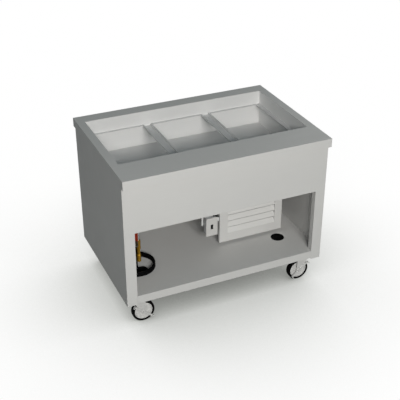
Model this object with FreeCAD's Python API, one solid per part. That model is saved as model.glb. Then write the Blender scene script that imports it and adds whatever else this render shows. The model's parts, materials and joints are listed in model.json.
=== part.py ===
# Mobile cold-pan cart: a stainless body on four swivel casters, with a refrigerated well for three
# food pans in its top, an open shelf below it and a condensing unit behind a louvred panel.
# Millimetres. X runs along the cart, Y from the open front (-Y) to the back, Z up.
# The origin is on the floor under the middle of the top.
import FreeCAD, Part
import math
import os

Vector = FreeCAD.Vector
UP = Vector(0, 0, 1)
DOWN = Vector(0, 0, -1)
FRONT = Vector(0, -1, 0)
BACK = Vector(0, 1, 0)
RIGHT = Vector(1, 0, 0)

# ---- Driving dimensions -------------------------------------------------------------------------
TOP_LENGTH = 1168.4          # along X
TOP_WIDTH = 816.2            # along Y
TOP_HEIGHT = 914.4           # floor to the top's surface
TOP_SHEET = 1.5
FASCIA_HEIGHT = 49.0         # the top's turned-down edge
SLIP = 0.2                   # slip fit of one sheet inside another
LOOSE = 0.3                  # gap beside a curved face or a loose edge

BODY_SHEET = 1.2
BODY_SETBACK = 27.8          # body behind the top's edge, front and back
BODY_CLEARANCE = 152.8       # floor to the body's bottom edge
HEM_HEIGHT = 12.0
POST_WIDTH = 58.0
POST_RETURN = 34.0
OPENING_HEIGHT = 387.8       # shelf to the upper front panel
OPENING_RETURN = 26.0

PAN_BAYS = 3                 # each bay takes a standard food pan, 304.8 wide
DECK_END = 45.0              # top beside the well, left and right
LEDGE_END = 27.0             # ledge at the well's two ends
LEDGE_SIDE = 18.0            # ledge along its front and back
LEDGE_SHEET = 1.5
LEDGE_LEG = 12.0
LEDGE_DROP = 79.7            # top surface to the ledge
WELL_WIDTH = 553.9           # along Y
WELL_DEPTH = 204.5
REAR_RIM = 78.9              # well to the top's back edge
LINER_SHEET = 1.2
INSULATION = 38.0
JACKET_SHEET = 1.0

BAR_WIDTH = 55.0
BAR_LIP = 7.5
BAR_RECESS = 11.0
BAR_SHEET = 1.5

SHELF_HEIGHT = 206.6         # floor to the shelf's surface
SHELF_SHEET = 1.5
SHELF_FASCIA = 47.2
SHELF_FLANGE = 25.0
SHELF_SEAM = 0.4
GROMMET_FROM_END = 161.7     # each from its own end of the body
GROMMET_FROM_FRONT = 209.2   # from the body's front
GROMMET_HOLE_R = 35.0
GROMMET_FLANGE_R = 39.0
GROMMET_FLANGE = 1.6
GROMMET_CHAMFER = 1.0
GROMMET_DEPTH = 9.0

# Casters
WHEEL_R = 63.5
WHEEL_WIDTH = 32.0
HUB_R = 50.0
HUB_WIDTH = 26.0
HUB_WEB = 14.0
HUB_DISH_R = 43.0
HUB_BOSS_R = 15.0
TYRE_CROWN = 20.0            # flat of the tread
TYRE_EDGE = 3.5              # height of the tread's rounded edge
CASTER_FROM_END = 67.5       # swivel axis from the body's side
CASTER_FROM_FRONT = 64.0     # and from its front or back
CASTER_TRAIL = 38.0
WHEEL_HEADROOM = 14.5        # tread to the fork's crown
PLATE_LENGTH = 100.0
PLATE_WIDTH = 78.0
PLATE_THICK = 4.0
PLATE_BOLT_X = 76.0
PLATE_BOLT_Y = 54.0
PLATE_BOLT_R = 4.0
PLATE_HOLE_R = 4.5
BOLT_HEAD_R = 7.0
BOLT_HEAD = 5.3
NUT_HEIGHT = 6.5
RACE_R = 29.0
RACE_HEIGHT = 7.0
CROWN_THICK = 4.5
FORK_SHEET = 3.2
FORK_SIDE_GAP = 2.8          # wheel to fork leg
LEG_EYE_R = 15.0
KINGPIN_R = 6.0
KINGPIN_FIT = 0.06
KINGPIN_HEAD_R = 11.0
KINGPIN_HEAD = 4.5
AXLE_R = 5.0
AXLE_FIT = 0.1
BUSH_R = 7.5
BUSH_FIT = 0.06
AXLE_HEAD_R = 8.5
AXLE_HEAD = 5.0
CHANNEL_SHEET = 3.0
CHANNEL_WIDTH = 122.0
CHANNEL_INSET = 22.3         # channel's end behind the body's front
LEVER_THICK = 3.5
LEVER_WIDTH = 17.0
LEVER_UP_ARM = 74.0          # arm towards the cart's end, which a foot presses down
LEVER_LOW_ARM = 56.0
LEVER_PAD = 15.0
LEVER_ANGLE = 40.0           # the arms' slope at rest

# Drain
DRAIN_FROM_END = 98.7        # from the well's left end
DRAIN_FROM_FRONT = 40.0      # from the well's front
STRAINER_FLANGE_R = 28.0
STRAINER_FLANGE = 1.5
SPIGOT_R = 16.0
SPIGOT_BELOW_JACKET = 5.0
STRAINER_HOLE_R = 2.6
STRAINER_RING = 4.6          # outer holes inside the spigot's wall
THROAT_R = 11.5
NIPPLE_R = 6.9
NIPPLE_BORE_R = 4.6
NIPPLE_SEAT = 18.0
VALVE_HALF = 25.0
VALVE_R = 12.0
VALVE_HEX_R = 13.0           # hexagonal ends, across their corners
VALVE_HEX = 11.0
BALL_R = 9.2
BALL_GAP = 0.3
BALL_BORE_R = 4.6
SOCKET_WALL = 5.0            # between the ball's chamber and the end sockets
STEM_TURN = -46.0            # the stem points to the front left
STEM_R = 3.5
STEM_FIT = 0.06
STEM_BOSS_R = 7.5
STEM_BOSS = 21.0
HANDLE_WIDTH = 20.0
HANDLE_LENGTH = 98.0
HANDLE_THICK = 3.0
HANDLE_SKIRT = 5.0
HANDLE_SKIRT_FROM = 22.0     # where the grip's skirts start, above the stem
STEM_NUT_R = 6.5
STEM_NUT = 4.0
TAIL_R = 8.9
TAIL_BORE_R = 5.4
TAIL_NECK_R = 6.9            # the pipe's turned end in the valve's socket
TAIL_CLEARANCE = 80.8        # shelf to the hose fitting's end
TAIL_PIPE = 36.6             # between the hose fitting and the valve
HOSE_FITTING_R = 12.0
HOSE_FITTING_NECK = 4.0
HOSE_FITTING_HEIGHT = 46.0

# Condensing unit
PANEL_FROM_END = 108.7       # from the body's right side
PANEL_FROM_FRONT = 267.2     # from the body's front
PANEL_WIDTH = 399.0
PANEL_CLEARANCE = 17.8       # shelf to the panel's bottom edge
PANEL_SHEET = 1.2
PANEL_RETURN = 20.0
LOUVRE_FROM_LEFT = 50.0
LOUVRE_FROM_RIGHT = 46.0
LOUVRE_FROM_BOTTOM = 53.0
LOUVRE_FROM_TOP = 60.0       # at least this much plain sheet over the blades
LOUVRE_PITCH = 40.0
LOUVRE_DEPTH = 16.0
LOUVRE_HEIGHT = 27.0
BASE_HEIGHT = 12.8
BASE_SHEET = 1.5
BASE_LIP = 3.0               # base beyond the condenser
BASE_SETBACK = 8.0           # base behind the condenser's front, in the panel's shade
BASE_FROM_RIGHT = 7.8        # inside the panel's right edge
BASE_STEP = 131.2            # the part under the compressor starts this far from the panel's left edge
BASE_DEPTH = 242.0
CONDENSER_FROM_LEFT = 33.2
CONDENSER_FROM_RIGHT = 57.8
CONDENSER_DEPTH = 44.0
CONDENSER_HEIGHT = 300.0
CONDENSER_END = 2.0
HAIRPIN_R = 4.8
HAIRPIN_PITCH = 50.0
HAIRPIN_BEND = 12.5
SHROUD_SHEET = 1.2
SHROUD_DEPTH = 30.0
SHROUD_HOLE_R = 126.0
SHROUD_COLLAR = 12.0
FAN_R = 120.0
FAN_HUB_R = 24.0
FAN_HUB = 18.0
FAN_BLADES = 4
FAN_BLADE_THICK = 1.5
FAN_BLADE_PITCH = 28.0
MOTOR_R = 38.0
MOTOR_LENGTH = 62.0
MOTOR_SHAFT_R = 4.0
MOTOR_STANDOFF = 14.0
SHAFT_FIT = 0.1
MOTOR_LEG_WIDTH = 14.0
MOTOR_LEG_THICK = 2.5
MOTOR_LEG_REACH = 136.0
COMPRESSOR_FROM_RIGHT = 93.0
COMPRESSOR_FROM_FRONT = 193.1
COMPRESSOR_R = 72.0
COMPRESSOR_HEIGHT = 186.0
COMPRESSOR_FOOT_R = 9.0
COMPRESSOR_FOOT = 12.0
COMPRESSOR_PLATE = 3.0
TERMINAL_WIDTH = 46.0
TERMINAL_DEPTH = 24.0
TERMINAL_HEIGHT = 60.0
TERMINAL_RISE = 140.6        # base to the cover's top
SUCTION_FROM_LEFT = 108.0    # outside the panel's left edge
SUCTION_R = 6.0
SUCTION_ELBOW_RISE = 148.6   # base to the elbow
SUCTION_PORT_RISE = 80.6     # base to the compressor's port
SUCTION_BEND = 40.0
SUCTION_FALL = 38.0          # from the elbow to where the line turns across
LIQUID_FROM_RIGHT = 5.8
LIQUID_FROM_FRONT = 51.1
LIQUID_R = 3.2
LIQUID_BEND = 12.0
LIQUID_PORT = 14.0           # the condenser's two ports from its ends
HOT_LINE_OUT = 20.0
HOT_LINE_BEND = 16.0
DRIER_R = 11.0
DRIER_RISE = 100.6           # base to the drier
DRIER_LENGTH = 105.0
DRIER_NECK = 14.0
EVAPORATOR_R = 4.8
EVAPORATOR_PASSES = 5
EVAPORATOR_FROM_LEFT = 159.2     # from the well's left end
EVAPORATOR_FROM_RIGHT = 119.2    # from its right end
EVAPORATOR_FROM_BACK = 42.3      # from its back
EVAPORATOR_RISER_FROM_RIGHT = 39.2

# Switch
SWITCH_FROM_PANEL = 48.0     # the plate's middle from the panel's left edge
SWITCH_RISE = 119.0          # and above the panel's bottom edge
SWITCH_PLATE_WIDTH = 70.0
SWITCH_PLATE_HEIGHT = 115.0
SWITCH_PLATE_THICK = 1.6
SWITCH_BOX_WIDTH = 54.0
SWITCH_BOX_HEIGHT = 102.0
SWITCH_BOX_DEPTH = 45.0
SWITCH_BOX_WALL = 1.6
ROCKER_WIDTH = 14.0
ROCKER_HEIGHT = 28.5
ROCKER_CLEARANCE = 0.6
ROCKER_PROUD = 2.4
ROCKER_DEPTH = 8.0
ROCKER_TILT = 7.0            # each face slopes back by this many degrees
ROCKER_PIN_R = 1.5
ROCKER_PIN_FIT = 0.08
FRAME_WALL = 2.5
FRAME_DEPTH = 13.0
SCREW_SPACING = 83.3
SCREW_R = 1.9
SCREW_HEAD_R = 3.4
SCREW_HEAD = 1.1
CABLE_R = 4.5
CABLE_OFFSET = 19.0          # the cable's centre from the plate's middle
CABLE_SETBACK = 12.5         # the cable's centre behind the panel's face
CABLE_RISE = 22.6            # the cable's level run above the switch box
CABLE_INSIDE = 17.2          # the cable's rise inside the panel's left edge
CABLE_BEND = 13.0
CABLE_SWEEP = 40.0
CABLE_OVER = 28.6            # the cable's centre over the condenser
GLAND_R = 7.5
GLAND_HEIGHT = 7.0
EAR_HEIGHT = 22.0
EAR_THICK = 2.0

# Power cord
CORD_R = 5.15
CORD_FROM_DRAIN_X = -2.7
CORD_FROM_DRAIN_Y = 31.6
RELIEF_LENGTH = 34.0
RELIEF_FLANGE_R = 11.5
RELIEF_FLANGE = 5.0
RELIEF_R = 9.5
RELIEF_TIP_R = 7.2
RELIEF_SEAT = 6.0            # solid end that the hanging cord meets
COIL_FROM_CORD_X = 9.0       # the coil's middle from the hanging cord
COIL_FROM_CORD_Y = 32.0
COIL_R = 99.0                # the turns' centre line
COIL_TURN_GAP = 0.8          # between a turn and the one under it
COIL_INNER_GAP = 0.9         # between the outer turns and the inner strand
LANDING_HEIGHT = 31.0        # the hanging cord starts to bend this far over the shelf strand
TAIL_OFFSET = 54.0           # the plug's axis from the coil's middle, along X
PLUG_R = 14.0
PLUG_LENGTH = 42.0
PLUG_NECK_R = 8.5
PLUG_NECK = 14.0
BLADE_LENGTH = 17.0
BLADE_WIDTH = 6.3
BLADE_THICK = 1.5
BLADE_SPACING = 12.7
PIN_R = 2.4
PIN_DROP = 8.0

# ---- Planes that the pieces share ---------------------------------------------------------------
top_x = TOP_LENGTH / 2
top_y = TOP_WIDTH / 2
sheet_under = TOP_HEIGHT - TOP_SHEET
fascia_bottom = TOP_HEIGHT - FASCIA_HEIGHT
body_x = top_x - TOP_SHEET - SLIP
body_y = top_y - BODY_SETBACK
side_in = body_x - BODY_SHEET
front_in = body_y - BODY_SHEET
post_x = body_x - POST_WIDTH
opening_top = SHELF_HEIGHT + OPENING_HEIGHT

well_x = top_x - DECK_END
bay_length = (2 * (well_x - LEDGE_END) - (PAN_BAYS - 1) * BAR_WIDTH) / PAN_BAYS
well_back = top_y - REAR_RIM
well_front = well_back - WELL_WIDTH
well_floor = TOP_HEIGHT - WELL_DEPTH
ledge_top = TOP_HEIGHT - LEDGE_DROP
ledge_under = ledge_top - LEDGE_SHEET
bar_pitch = bay_length + BAR_WIDTH
bar_web_x = BAR_WIDTH / 2 - BAR_LIP
liner_under = well_floor - LINER_SHEET
jacket_top = sheet_under - LINER_SHEET
jacket_in = LINER_SHEET + INSULATION
jacket_out = jacket_in + JACKET_SHEET
jacket_floor = liner_under - INSULATION
jacket_under = jacket_floor - JACKET_SHEET

grommet_x = body_x - GROMMET_FROM_END
grommet_y = GROMMET_FROM_FRONT - body_y

shelf_under = SHELF_HEIGHT - SHELF_SHEET
caster_x = body_x - CASTER_FROM_END
caster_y = body_y - CASTER_FROM_FRONT
channel_y = body_y - CHANNEL_INSET
crown_under = 2 * WHEEL_R + WHEEL_HEADROOM
race_under = crown_under + CROWN_THICK + LOOSE
plate_under = race_under + RACE_HEIGHT
caster_height = plate_under + PLATE_THICK       # floor to the mounting face
web_top = caster_height + CHANNEL_SHEET
leg_in = WHEEL_WIDTH / 2 + FORK_SIDE_GAP
leg_out = leg_in + FORK_SHEET

panel_right = body_x - PANEL_FROM_END
panel_left = panel_right - PANEL_WIDTH
panel_front = PANEL_FROM_FRONT - body_y
panel_bottom = SHELF_HEIGHT + PANEL_CLEARANCE
louvre_left = panel_left + LOUVRE_FROM_LEFT
louvre_right = panel_right - LOUVRE_FROM_RIGHT
louvre_bottom = panel_bottom + LOUVRE_FROM_BOTTOM
louvre_count = int((jacket_under - LOUVRE_FROM_TOP - louvre_bottom) // LOUVRE_PITCH)

base_top = SHELF_HEIGHT + BASE_HEIGHT
base_right = panel_right - BASE_FROM_RIGHT
base_step_x = panel_left + BASE_STEP
condenser_left = panel_left + CONDENSER_FROM_LEFT
condenser_right = panel_right - CONDENSER_FROM_RIGHT
condenser_front = panel_front + PANEL_RETURN
condenser_back = condenser_front + CONDENSER_DEPTH
condenser_top = base_top + CONDENSER_HEIGHT
shroud_back = condenser_back + SHROUD_DEPTH
fan_x = (condenser_left + condenser_right) / 2
fan_z = (base_top + condenser_top) / 2
motor_front = shroud_back + MOTOR_STANDOFF
compressor_x = panel_right - COMPRESSOR_FROM_RIGHT
compressor_y = panel_front + COMPRESSOR_FROM_FRONT
terminal_top = base_top + TERMINAL_RISE
suction_x = panel_left - SUCTION_FROM_LEFT
suction_elbow = base_top + SUCTION_ELBOW_RISE
suction_port = base_top + SUCTION_PORT_RISE
liquid_x = panel_right - LIQUID_FROM_RIGHT
liquid_y = panel_front + LIQUID_FROM_FRONT
drier_bottom = base_top + DRIER_RISE
evaporator_z = liner_under - LOOSE - EVAPORATOR_R
evaporator_left = EVAPORATOR_FROM_LEFT - well_x
evaporator_right = well_x - EVAPORATOR_FROM_RIGHT
evaporator_riser = well_x - EVAPORATOR_RISER_FROM_RIGHT
evaporator_pitch = (well_back - EVAPORATOR_FROM_BACK - panel_front) / EVAPORATOR_PASSES

switch_x = panel_left - SWITCH_FROM_PANEL
switch_z = panel_bottom + SWITCH_RISE
box_top = switch_z + SWITCH_BOX_HEIGHT / 2
plate_back = panel_front + SWITCH_PLATE_THICK
cable_x = switch_x + CABLE_OFFSET
cable_y = panel_front + CABLE_SETBACK
cable_height = box_top + CABLE_RISE
cable_rise_x = panel_left + CABLE_INSIDE
cable_over = condenser_top + CABLE_OVER

drain_x = DRAIN_FROM_END - well_x
drain_y = well_front + DRAIN_FROM_FRONT
nipple_top = well_floor - NIPPLE_SEAT
tail_bottom = SHELF_HEIGHT + TAIL_CLEARANCE
valve_bottom = tail_bottom + HOSE_FITTING_HEIGHT + TAIL_PIPE
valve_height = valve_bottom + VALVE_HALF
valve_top = valve_height + VALVE_HALF
valve_seat = VALVE_HALF - BALL_R - SOCKET_WALL      # depth of the sockets at the valve's two ends
drain = Vector(drain_x, drain_y, 0)

cord_x = drain_x + CORD_FROM_DRAIN_X
cord_y = drain_y + CORD_FROM_DRAIN_Y
coil_x = cord_x + COIL_FROM_CORD_X
coil_y = cord_y + COIL_FROM_CORD_Y
cord_level = SHELF_HEIGHT + GROMMET_FLANGE + LOOSE + CORD_R       # on the left grommet
coil_step = 2 * CORD_R + COIL_TURN_GAP
coil_inner_r = COIL_R - 2 * CORD_R - COIL_INNER_GAP
relief_bottom = jacket_under - RELIEF_LENGTH
plug_level = SHELF_HEIGHT + LOOSE + PLUG_R


# ---- Shapes -------------------------------------------------------------------------------------
def block(x0, x1, y0, y1, z0, z1):
    """A box between two values along each axis."""
    return Part.makeBox(x1 - x0, y1 - y0, z1 - z0, Vector(x0, y0, z0))


def rod(radius, start, direction, length):
    return Part.makeCylinder(radius, length, start, direction)


def hexagon(across_corners_r, start, direction, length):
    """A hexagonal head or nut, with two of its corners along a level line."""
    side = direction.cross(UP)
    if side.Length < 0.5:
        side = RIGHT
    other = direction.cross(side)
    corners = []
    for i in range(6):
        angle = math.radians(60 * i)
        offset = side * (across_corners_r * math.cos(angle)) + other * (across_corners_r * math.sin(angle))
        corners.append(start + offset)
    face = Part.Face(Part.makePolygon(corners + corners[:1]))
    return face.extrude(direction * length)


def slab(corners, direction, thickness):
    """A flat plate: its outline's corners, and the way and amount that it is thick."""
    face = Part.Face(Part.makePolygon(corners + corners[:1]))
    return face.extrude(direction * thickness)


def turned(profile, centre, axis):
    """A body of revolution about an axis through centre: (radius, along) pairs in order."""
    side = axis.cross(UP)
    if side.Length < 0.5:
        side = RIGHT
    points = [centre + side * r + axis * a for r, a in profile]
    face = Part.Face(Part.makePolygon(points + points[:1]))
    return face.revolve(centre, axis, 360)


def joined(shapes):
    """One solid from pieces that overlap or share faces."""
    body = shapes[0].multiFuse(shapes[1:])
    return body.removeSplitter()


def bent_wire(points, radii):
    """Straight runs joined by tangent arcs, one radius for each inner point."""
    edges = []
    start = points[0]
    for i in range(1, len(points) - 1):
        corner = points[i]
        back = (points[i - 1] - corner).normalize()
        ahead = (points[i + 1] - corner).normalize()
        half = back.getAngle(ahead) / 2
        reach = radii[i - 1] / math.tan(half)
        bisector = (back + ahead).normalize()
        middle = corner + bisector * (radii[i - 1] / math.sin(half) - radii[i - 1])
        arc_start = corner + back * reach
        arc_end = corner + ahead * reach
        edges.append(Part.LineSegment(start, arc_start).toShape())
        edges.append(Part.Arc(arc_start, middle, arc_end).toShape())
        start = arc_end
    edges.append(Part.LineSegment(start, points[-1]).toShape())
    return Part.Wire(edges)


def swept(wire, radius):
    """A round bar along a wire."""
    first = wire.OrderedEdges[0]
    tangent = first.tangentAt(first.FirstParameter)
    circle = Part.Wire(Part.makeCircle(radius, first.valueAt(first.FirstParameter), tangent))
    return wire.makePipeShell([circle], True, False)


def bent_tube(points, radii, radius):
    return swept(bent_wire(points, radii), radius)


def save(name, shapes):
    """Writes one node. Several shapes make a group of separate solids."""
    shape = shapes[0] if len(shapes) == 1 else Part.makeCompound(shapes)
    solids = len(shape.Solids)
    valid = all(s.isValid() for s in shape.Solids)
    print(f"{name:28s} {solids:3d} solids  {shape.Volume / 1000:10.2f} cm3  valid {valid}")
    shape.exportStep(f"parts/{name}.step")


# ---- Top and well -------------------------------------------------------------------------------
def bar_centres():
    first = -(PAN_BAYS - 2) * bar_pitch / 2
    return [first + i * bar_pitch for i in range(PAN_BAYS - 1)]


def well_block(grow, z0, z1):
    """The well's outline, grown by the same amount on each side."""
    return block(-well_x - grow, well_x + grow, well_front - grow, well_back + grow, z0, z1)


def countertop():
    outer = block(-top_x, top_x, -top_y, top_y, fascia_bottom, TOP_HEIGHT)
    inner_x = top_x - TOP_SHEET
    inner_y = top_y - TOP_SHEET
    hollow = block(-inner_x, inner_x, -inner_y, inner_y, fascia_bottom - 1, sheet_under)
    return_top = fascia_bottom + TOP_SHEET
    lips = []
    for side in (-1, 1):
        near = min(side * inner_y, side * (body_y + LOOSE))
        far = max(side * inner_y, side * (body_y + LOOSE))
        lips.append(block(-inner_x, inner_x, near, far, fascia_bottom, return_top))
    shell = joined([outer.cut(hollow)] + lips)
    return shell.cut(well_block(0, sheet_under - 1, TOP_HEIGHT + 1))


def well_liner():
    outer = well_block(LINER_SHEET, liner_under, sheet_under)
    flange = well_block(jacket_out, jacket_top, sheet_under)
    hollow = well_block(0, well_floor, sheet_under + 1)
    drain = rod(SPIGOT_R + LOOSE, Vector(drain_x, drain_y, liner_under - 1), UP, LINER_SHEET + 2)
    return joined([outer, flange]).cut(hollow).cut(drain)


def pan_ledge():
    inner_x = well_x - LEDGE_END
    inner_front = well_front + LEDGE_SIDE
    inner_back = well_back - LEDGE_SIDE
    flange = well_block(0, ledge_under, ledge_top)
    flange = flange.cut(block(-inner_x, inner_x, inner_front, inner_back, ledge_under - 1, ledge_top + 1))
    notch_x = bar_web_x + BAR_SHEET + LOOSE
    leg_in_front = well_front + LEDGE_SHEET
    leg_in_back = well_back - LEDGE_SHEET
    for x in bar_centres():
        flange = flange.cut(block(x - notch_x, x + notch_x, leg_in_front, leg_in_back,
                                  ledge_under - 1, ledge_top + 1))
    leg = well_block(0, ledge_under - LEDGE_LEG, ledge_under)
    leg = leg.cut(well_block(-LEDGE_SHEET, ledge_under - LEDGE_LEG - 1, ledge_under + 1))
    return joined([flange, leg])


def divider_bar(x):
    """A folded channel: two lips on the ledge, and a flat between them that sits lower."""
    front = well_front + LEDGE_SHEET + LOOSE
    back = well_back - LEDGE_SHEET - LOOSE
    lip_top = ledge_top + BAR_SHEET
    flat_top = lip_top - BAR_RECESS
    web_out = bar_web_x + BAR_SHEET
    pieces = [block(x - web_out, x + web_out, front, back, flat_top - BAR_SHEET, flat_top)]
    for side in (-1, 1):
        web = sorted((x + side * bar_web_x, x + side * web_out))
        lip = sorted((x + side * bar_web_x, x + side * BAR_WIDTH / 2))
        pieces.append(block(web[0], web[1], front, back, flat_top - BAR_SHEET, lip_top))
        pieces.append(block(lip[0], lip[1], front, back, ledge_top, lip_top))
    return joined(pieces)


def evaporator_route():
    """A serpentine under the liner's floor, with both ends turned down through the insulation."""
    half = evaporator_pitch / 2
    y = panel_front
    points = [Vector(suction_x, y, jacket_under), Vector(suction_x, y, evaporator_z)]
    radii = [2 * EVAPORATOR_R]
    x = evaporator_left
    for i in range(EVAPORATOR_PASSES):
        points += [Vector(x, y, evaporator_z), Vector(x, y + evaporator_pitch, evaporator_z)]
        radii += [half * 0.98, half * 0.98]
        y += evaporator_pitch
        x = evaporator_right if x < 0 else evaporator_left
    riser = [(evaporator_riser, y), (evaporator_riser, liquid_y), (liquid_x, liquid_y)]
    points += [Vector(px, py, evaporator_z) for px, py in riser]
    radii += [3 * EVAPORATOR_R, 3 * EVAPORATOR_R, 2 * EVAPORATOR_R]
    points.append(Vector(liquid_x, liquid_y, jacket_under))
    return points, radii


def evaporator_coil():
    points, radii = evaporator_route()
    return bent_tube(points, radii, EVAPORATOR_R)


def tube_ends():
    """Clearance holes for the evaporator's two ends."""
    radius = EVAPORATOR_R + LOOSE
    height = liner_under - jacket_under + 1
    return [rod(radius, Vector(suction_x, panel_front, jacket_under - 1), UP, height),
            rod(radius, Vector(liquid_x, liquid_y, jacket_under - 1), UP, height)]


def spigot_hole():
    height = well_floor - jacket_under
    return rod(SPIGOT_R + LOOSE, Vector(drain_x, drain_y, jacket_under - 1), UP, height)


def well_insulation():
    """Foam between the liner and the jacket, with a hollow under the floor for the evaporator."""
    foam = well_block(jacket_in, jacket_floor, jacket_top)
    foam = foam.cut(well_block(LINER_SHEET, liner_under, jacket_top + 1))
    route = evaporator_route()[0]
    margin = EVAPORATOR_R + LOOSE
    xs = [p.x for p in route]
    ys = [p.y for p in route]
    hollow = block(min(xs) - margin, max(xs) + margin, min(ys) - margin, max(ys) + margin,
                   evaporator_z - margin - 2 * EVAPORATOR_R, liner_under + 1)
    foam = foam.cut(hollow).cut(spigot_hole())
    for hole in tube_ends():
        foam = foam.cut(hole)
    return foam


def well_jacket():
    shell = well_block(jacket_out, jacket_under, jacket_top)
    shell = shell.cut(well_block(jacket_in, jacket_floor, jacket_top + 1)).cut(spigot_hole())
    for hole in tube_ends():
        shell = shell.cut(hole)
    return shell


# ---- Body ---------------------------------------------------------------------------------------
def front_panel():
    """One sheet: the upper panel, the two posts and the returns round the opening."""
    sheet = block(-body_x, body_x, -body_y, -front_in, BODY_CLEARANCE, sheet_under)
    sheet = sheet.cut(block(-post_x, post_x, -body_y - 1, -front_in + 1, BODY_CLEARANCE - 1, opening_top))
    back = -body_y + POST_RETURN
    pieces = [sheet]
    for side in (-1, 1):
        web = sorted((side * post_x, side * (post_x + BODY_SHEET)))
        pieces.append(block(web[0], web[1], -front_in, back, SHELF_HEIGHT, opening_top + BODY_SHEET))
    pieces.append(block(-post_x, post_x, -front_in, -body_y + OPENING_RETURN,
                        opening_top, opening_top + BODY_SHEET))
    return joined(pieces)


def side_panel(side):
    """A plain sheet with a hem folded in along its bottom edge."""
    sheet = sorted((side * side_in, side * body_x))
    hem = sorted((side * (side_in - BODY_SHEET), side * side_in))
    panel = block(sheet[0], sheet[1], -front_in, front_in, BODY_CLEARANCE, sheet_under)
    fold = block(hem[0], hem[1], -front_in, front_in, BODY_CLEARANCE, BODY_CLEARANCE + HEM_HEIGHT)
    return joined([panel, fold])


def rear_panel():
    panel = block(-body_x, body_x, front_in, body_y, BODY_CLEARANCE, sheet_under)
    hem_x = side_in - BODY_SHEET
    fold = block(-hem_x, hem_x, front_in - BODY_SHEET, front_in,
                 BODY_CLEARANCE, BODY_CLEARANCE + HEM_HEIGHT)
    return joined([panel, fold])


def bottom_shelf():
    """The shelf sheet, its front fascia between the posts, and its flanges."""
    sheet = block(-side_in, side_in, -front_in, front_in, shelf_under, SHELF_HEIGHT)
    edge_x = post_x - SHELF_SEAM
    fascia_in = -body_y + SHELF_SHEET
    fascia_low = SHELF_HEIGHT - SHELF_FASCIA
    lip_back = -channel_y - SHELF_SHEET
    pieces = [
        sheet,
        block(-edge_x, edge_x, -body_y, -front_in, shelf_under, SHELF_HEIGHT),
        block(-edge_x, edge_x, -body_y, fascia_in, fascia_low, SHELF_HEIGHT),
        block(-edge_x, edge_x, fascia_in, lip_back, fascia_low, fascia_low + SHELF_SHEET),
        block(-side_in, side_in, front_in - SHELF_SHEET, front_in, shelf_under - SHELF_FLANGE, shelf_under),
    ]
    for side in (-1, 1):
        flange = sorted((side * (side_in - SHELF_SHEET), side * side_in))
        pieces.append(block(flange[0], flange[1], -front_in, front_in,
                            shelf_under - SHELF_FLANGE, shelf_under))
    shelf = joined(pieces)
    for side in (-1, 1):
        hole_under = Vector(side * grommet_x, grommet_y, shelf_under - 1)
        shelf = shelf.cut(rod(GROMMET_HOLE_R, hole_under, UP, SHELF_SHEET + 2))
    return shelf


def shelf_grommet(side):
    """A blanking grommet: a flange over the hole's edge and a hollow body through it."""
    fit_r = GROMMET_HOLE_R - LOOSE
    wall = 3.0
    profile = [
        (0, GROMMET_FLANGE),
        (GROMMET_FLANGE_R - GROMMET_CHAMFER, GROMMET_FLANGE),
        (GROMMET_FLANGE_R, GROMMET_FLANGE - GROMMET_CHAMFER),
        (GROMMET_FLANGE_R, 0),
        (fit_r, 0),
        (fit_r, -GROMMET_DEPTH),
        (fit_r - wall, -GROMMET_DEPTH),
        (fit_r - wall, -wall),
        (0, -wall),
    ]
    return turned(profile, Vector(side * grommet_x, grommet_y, SHELF_HEIGHT), UP)


# ---- Casters ------------------------------------------------------------------------------------
# Each caster: its place's name, the side of the cart (-1 left, 1 right) and the end (-1 front, 1 rear).
CASTERS = [("front_left", -1, -1), ("front_right", 1, -1), ("rear_left", -1, 1), ("rear_right", 1, 1)]


def swivel_point(side, end, z):
    return Vector(side * caster_x, end * caster_y, z)


def wheel_centre(side, end):
    """The wheel trails towards the cart's middle."""
    return Vector(side * (caster_x - CASTER_TRAIL), end * caster_y, WHEEL_R)


def plate_bolt_points(side, end, z):
    centre = swivel_point(side, end, z)
    half = [(sx * PLATE_BOLT_X / 2, sy * PLATE_BOLT_Y / 2) for sx in (-1, 1) for sy in (-1, 1)]
    return [centre + Vector(dx, dy, 0) for dx, dy in half]


def caster_channel(side):
    """A channel under the shelf: its web carries two casters, its flanges meet the shelf."""
    outer = side * (side_in - SHELF_SHEET - LOOSE)
    inner = outer - side * CHANNEL_WIDTH
    x0, x1 = sorted((outer, inner))
    body = block(x0, x1, -channel_y, channel_y, caster_height, shelf_under)
    body = body.cut(block(x0 + CHANNEL_SHEET, x1 - CHANNEL_SHEET, -channel_y - 1,
                          channel_y + 1, web_top, shelf_under + 1))
    for end in (-1, 1):
        head = rod(KINGPIN_HEAD_R + 1, swivel_point(side, end, caster_height - 1), UP, CHANNEL_SHEET + 2)
        body = body.cut(head)
        for point in plate_bolt_points(side, end, caster_height - 1):
            body = body.cut(rod(PLATE_HOLE_R, point, UP, CHANNEL_SHEET + 2))
    return body


def caster_plate(side, end):
    """The mounting plate with the upper ball race pressed out of it."""
    centre = swivel_point(side, end, 0)
    plate = block(centre.x - PLATE_LENGTH / 2, centre.x + PLATE_LENGTH / 2,
                  centre.y - PLATE_WIDTH / 2, centre.y + PLATE_WIDTH / 2, plate_under, caster_height)
    corners = [e for e in plate.Edges if abs(e.tangentAt(e.FirstParameter).z) > 0.9]
    plate = plate.makeFillet(6.0, corners)
    race = Part.makeCone(RACE_R - 4, RACE_R, RACE_HEIGHT, swivel_point(side, end, race_under), UP)
    body = joined([plate, race])
    body = body.cut(rod(KINGPIN_R + KINGPIN_FIT, swivel_point(side, end, race_under - 1), UP,
                        RACE_HEIGHT + PLATE_THICK + 2))
    for point in plate_bolt_points(side, end, plate_under - 1):
        body = body.cut(rod(PLATE_HOLE_R, point, UP, PLATE_THICK + 2))
    return body


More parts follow.
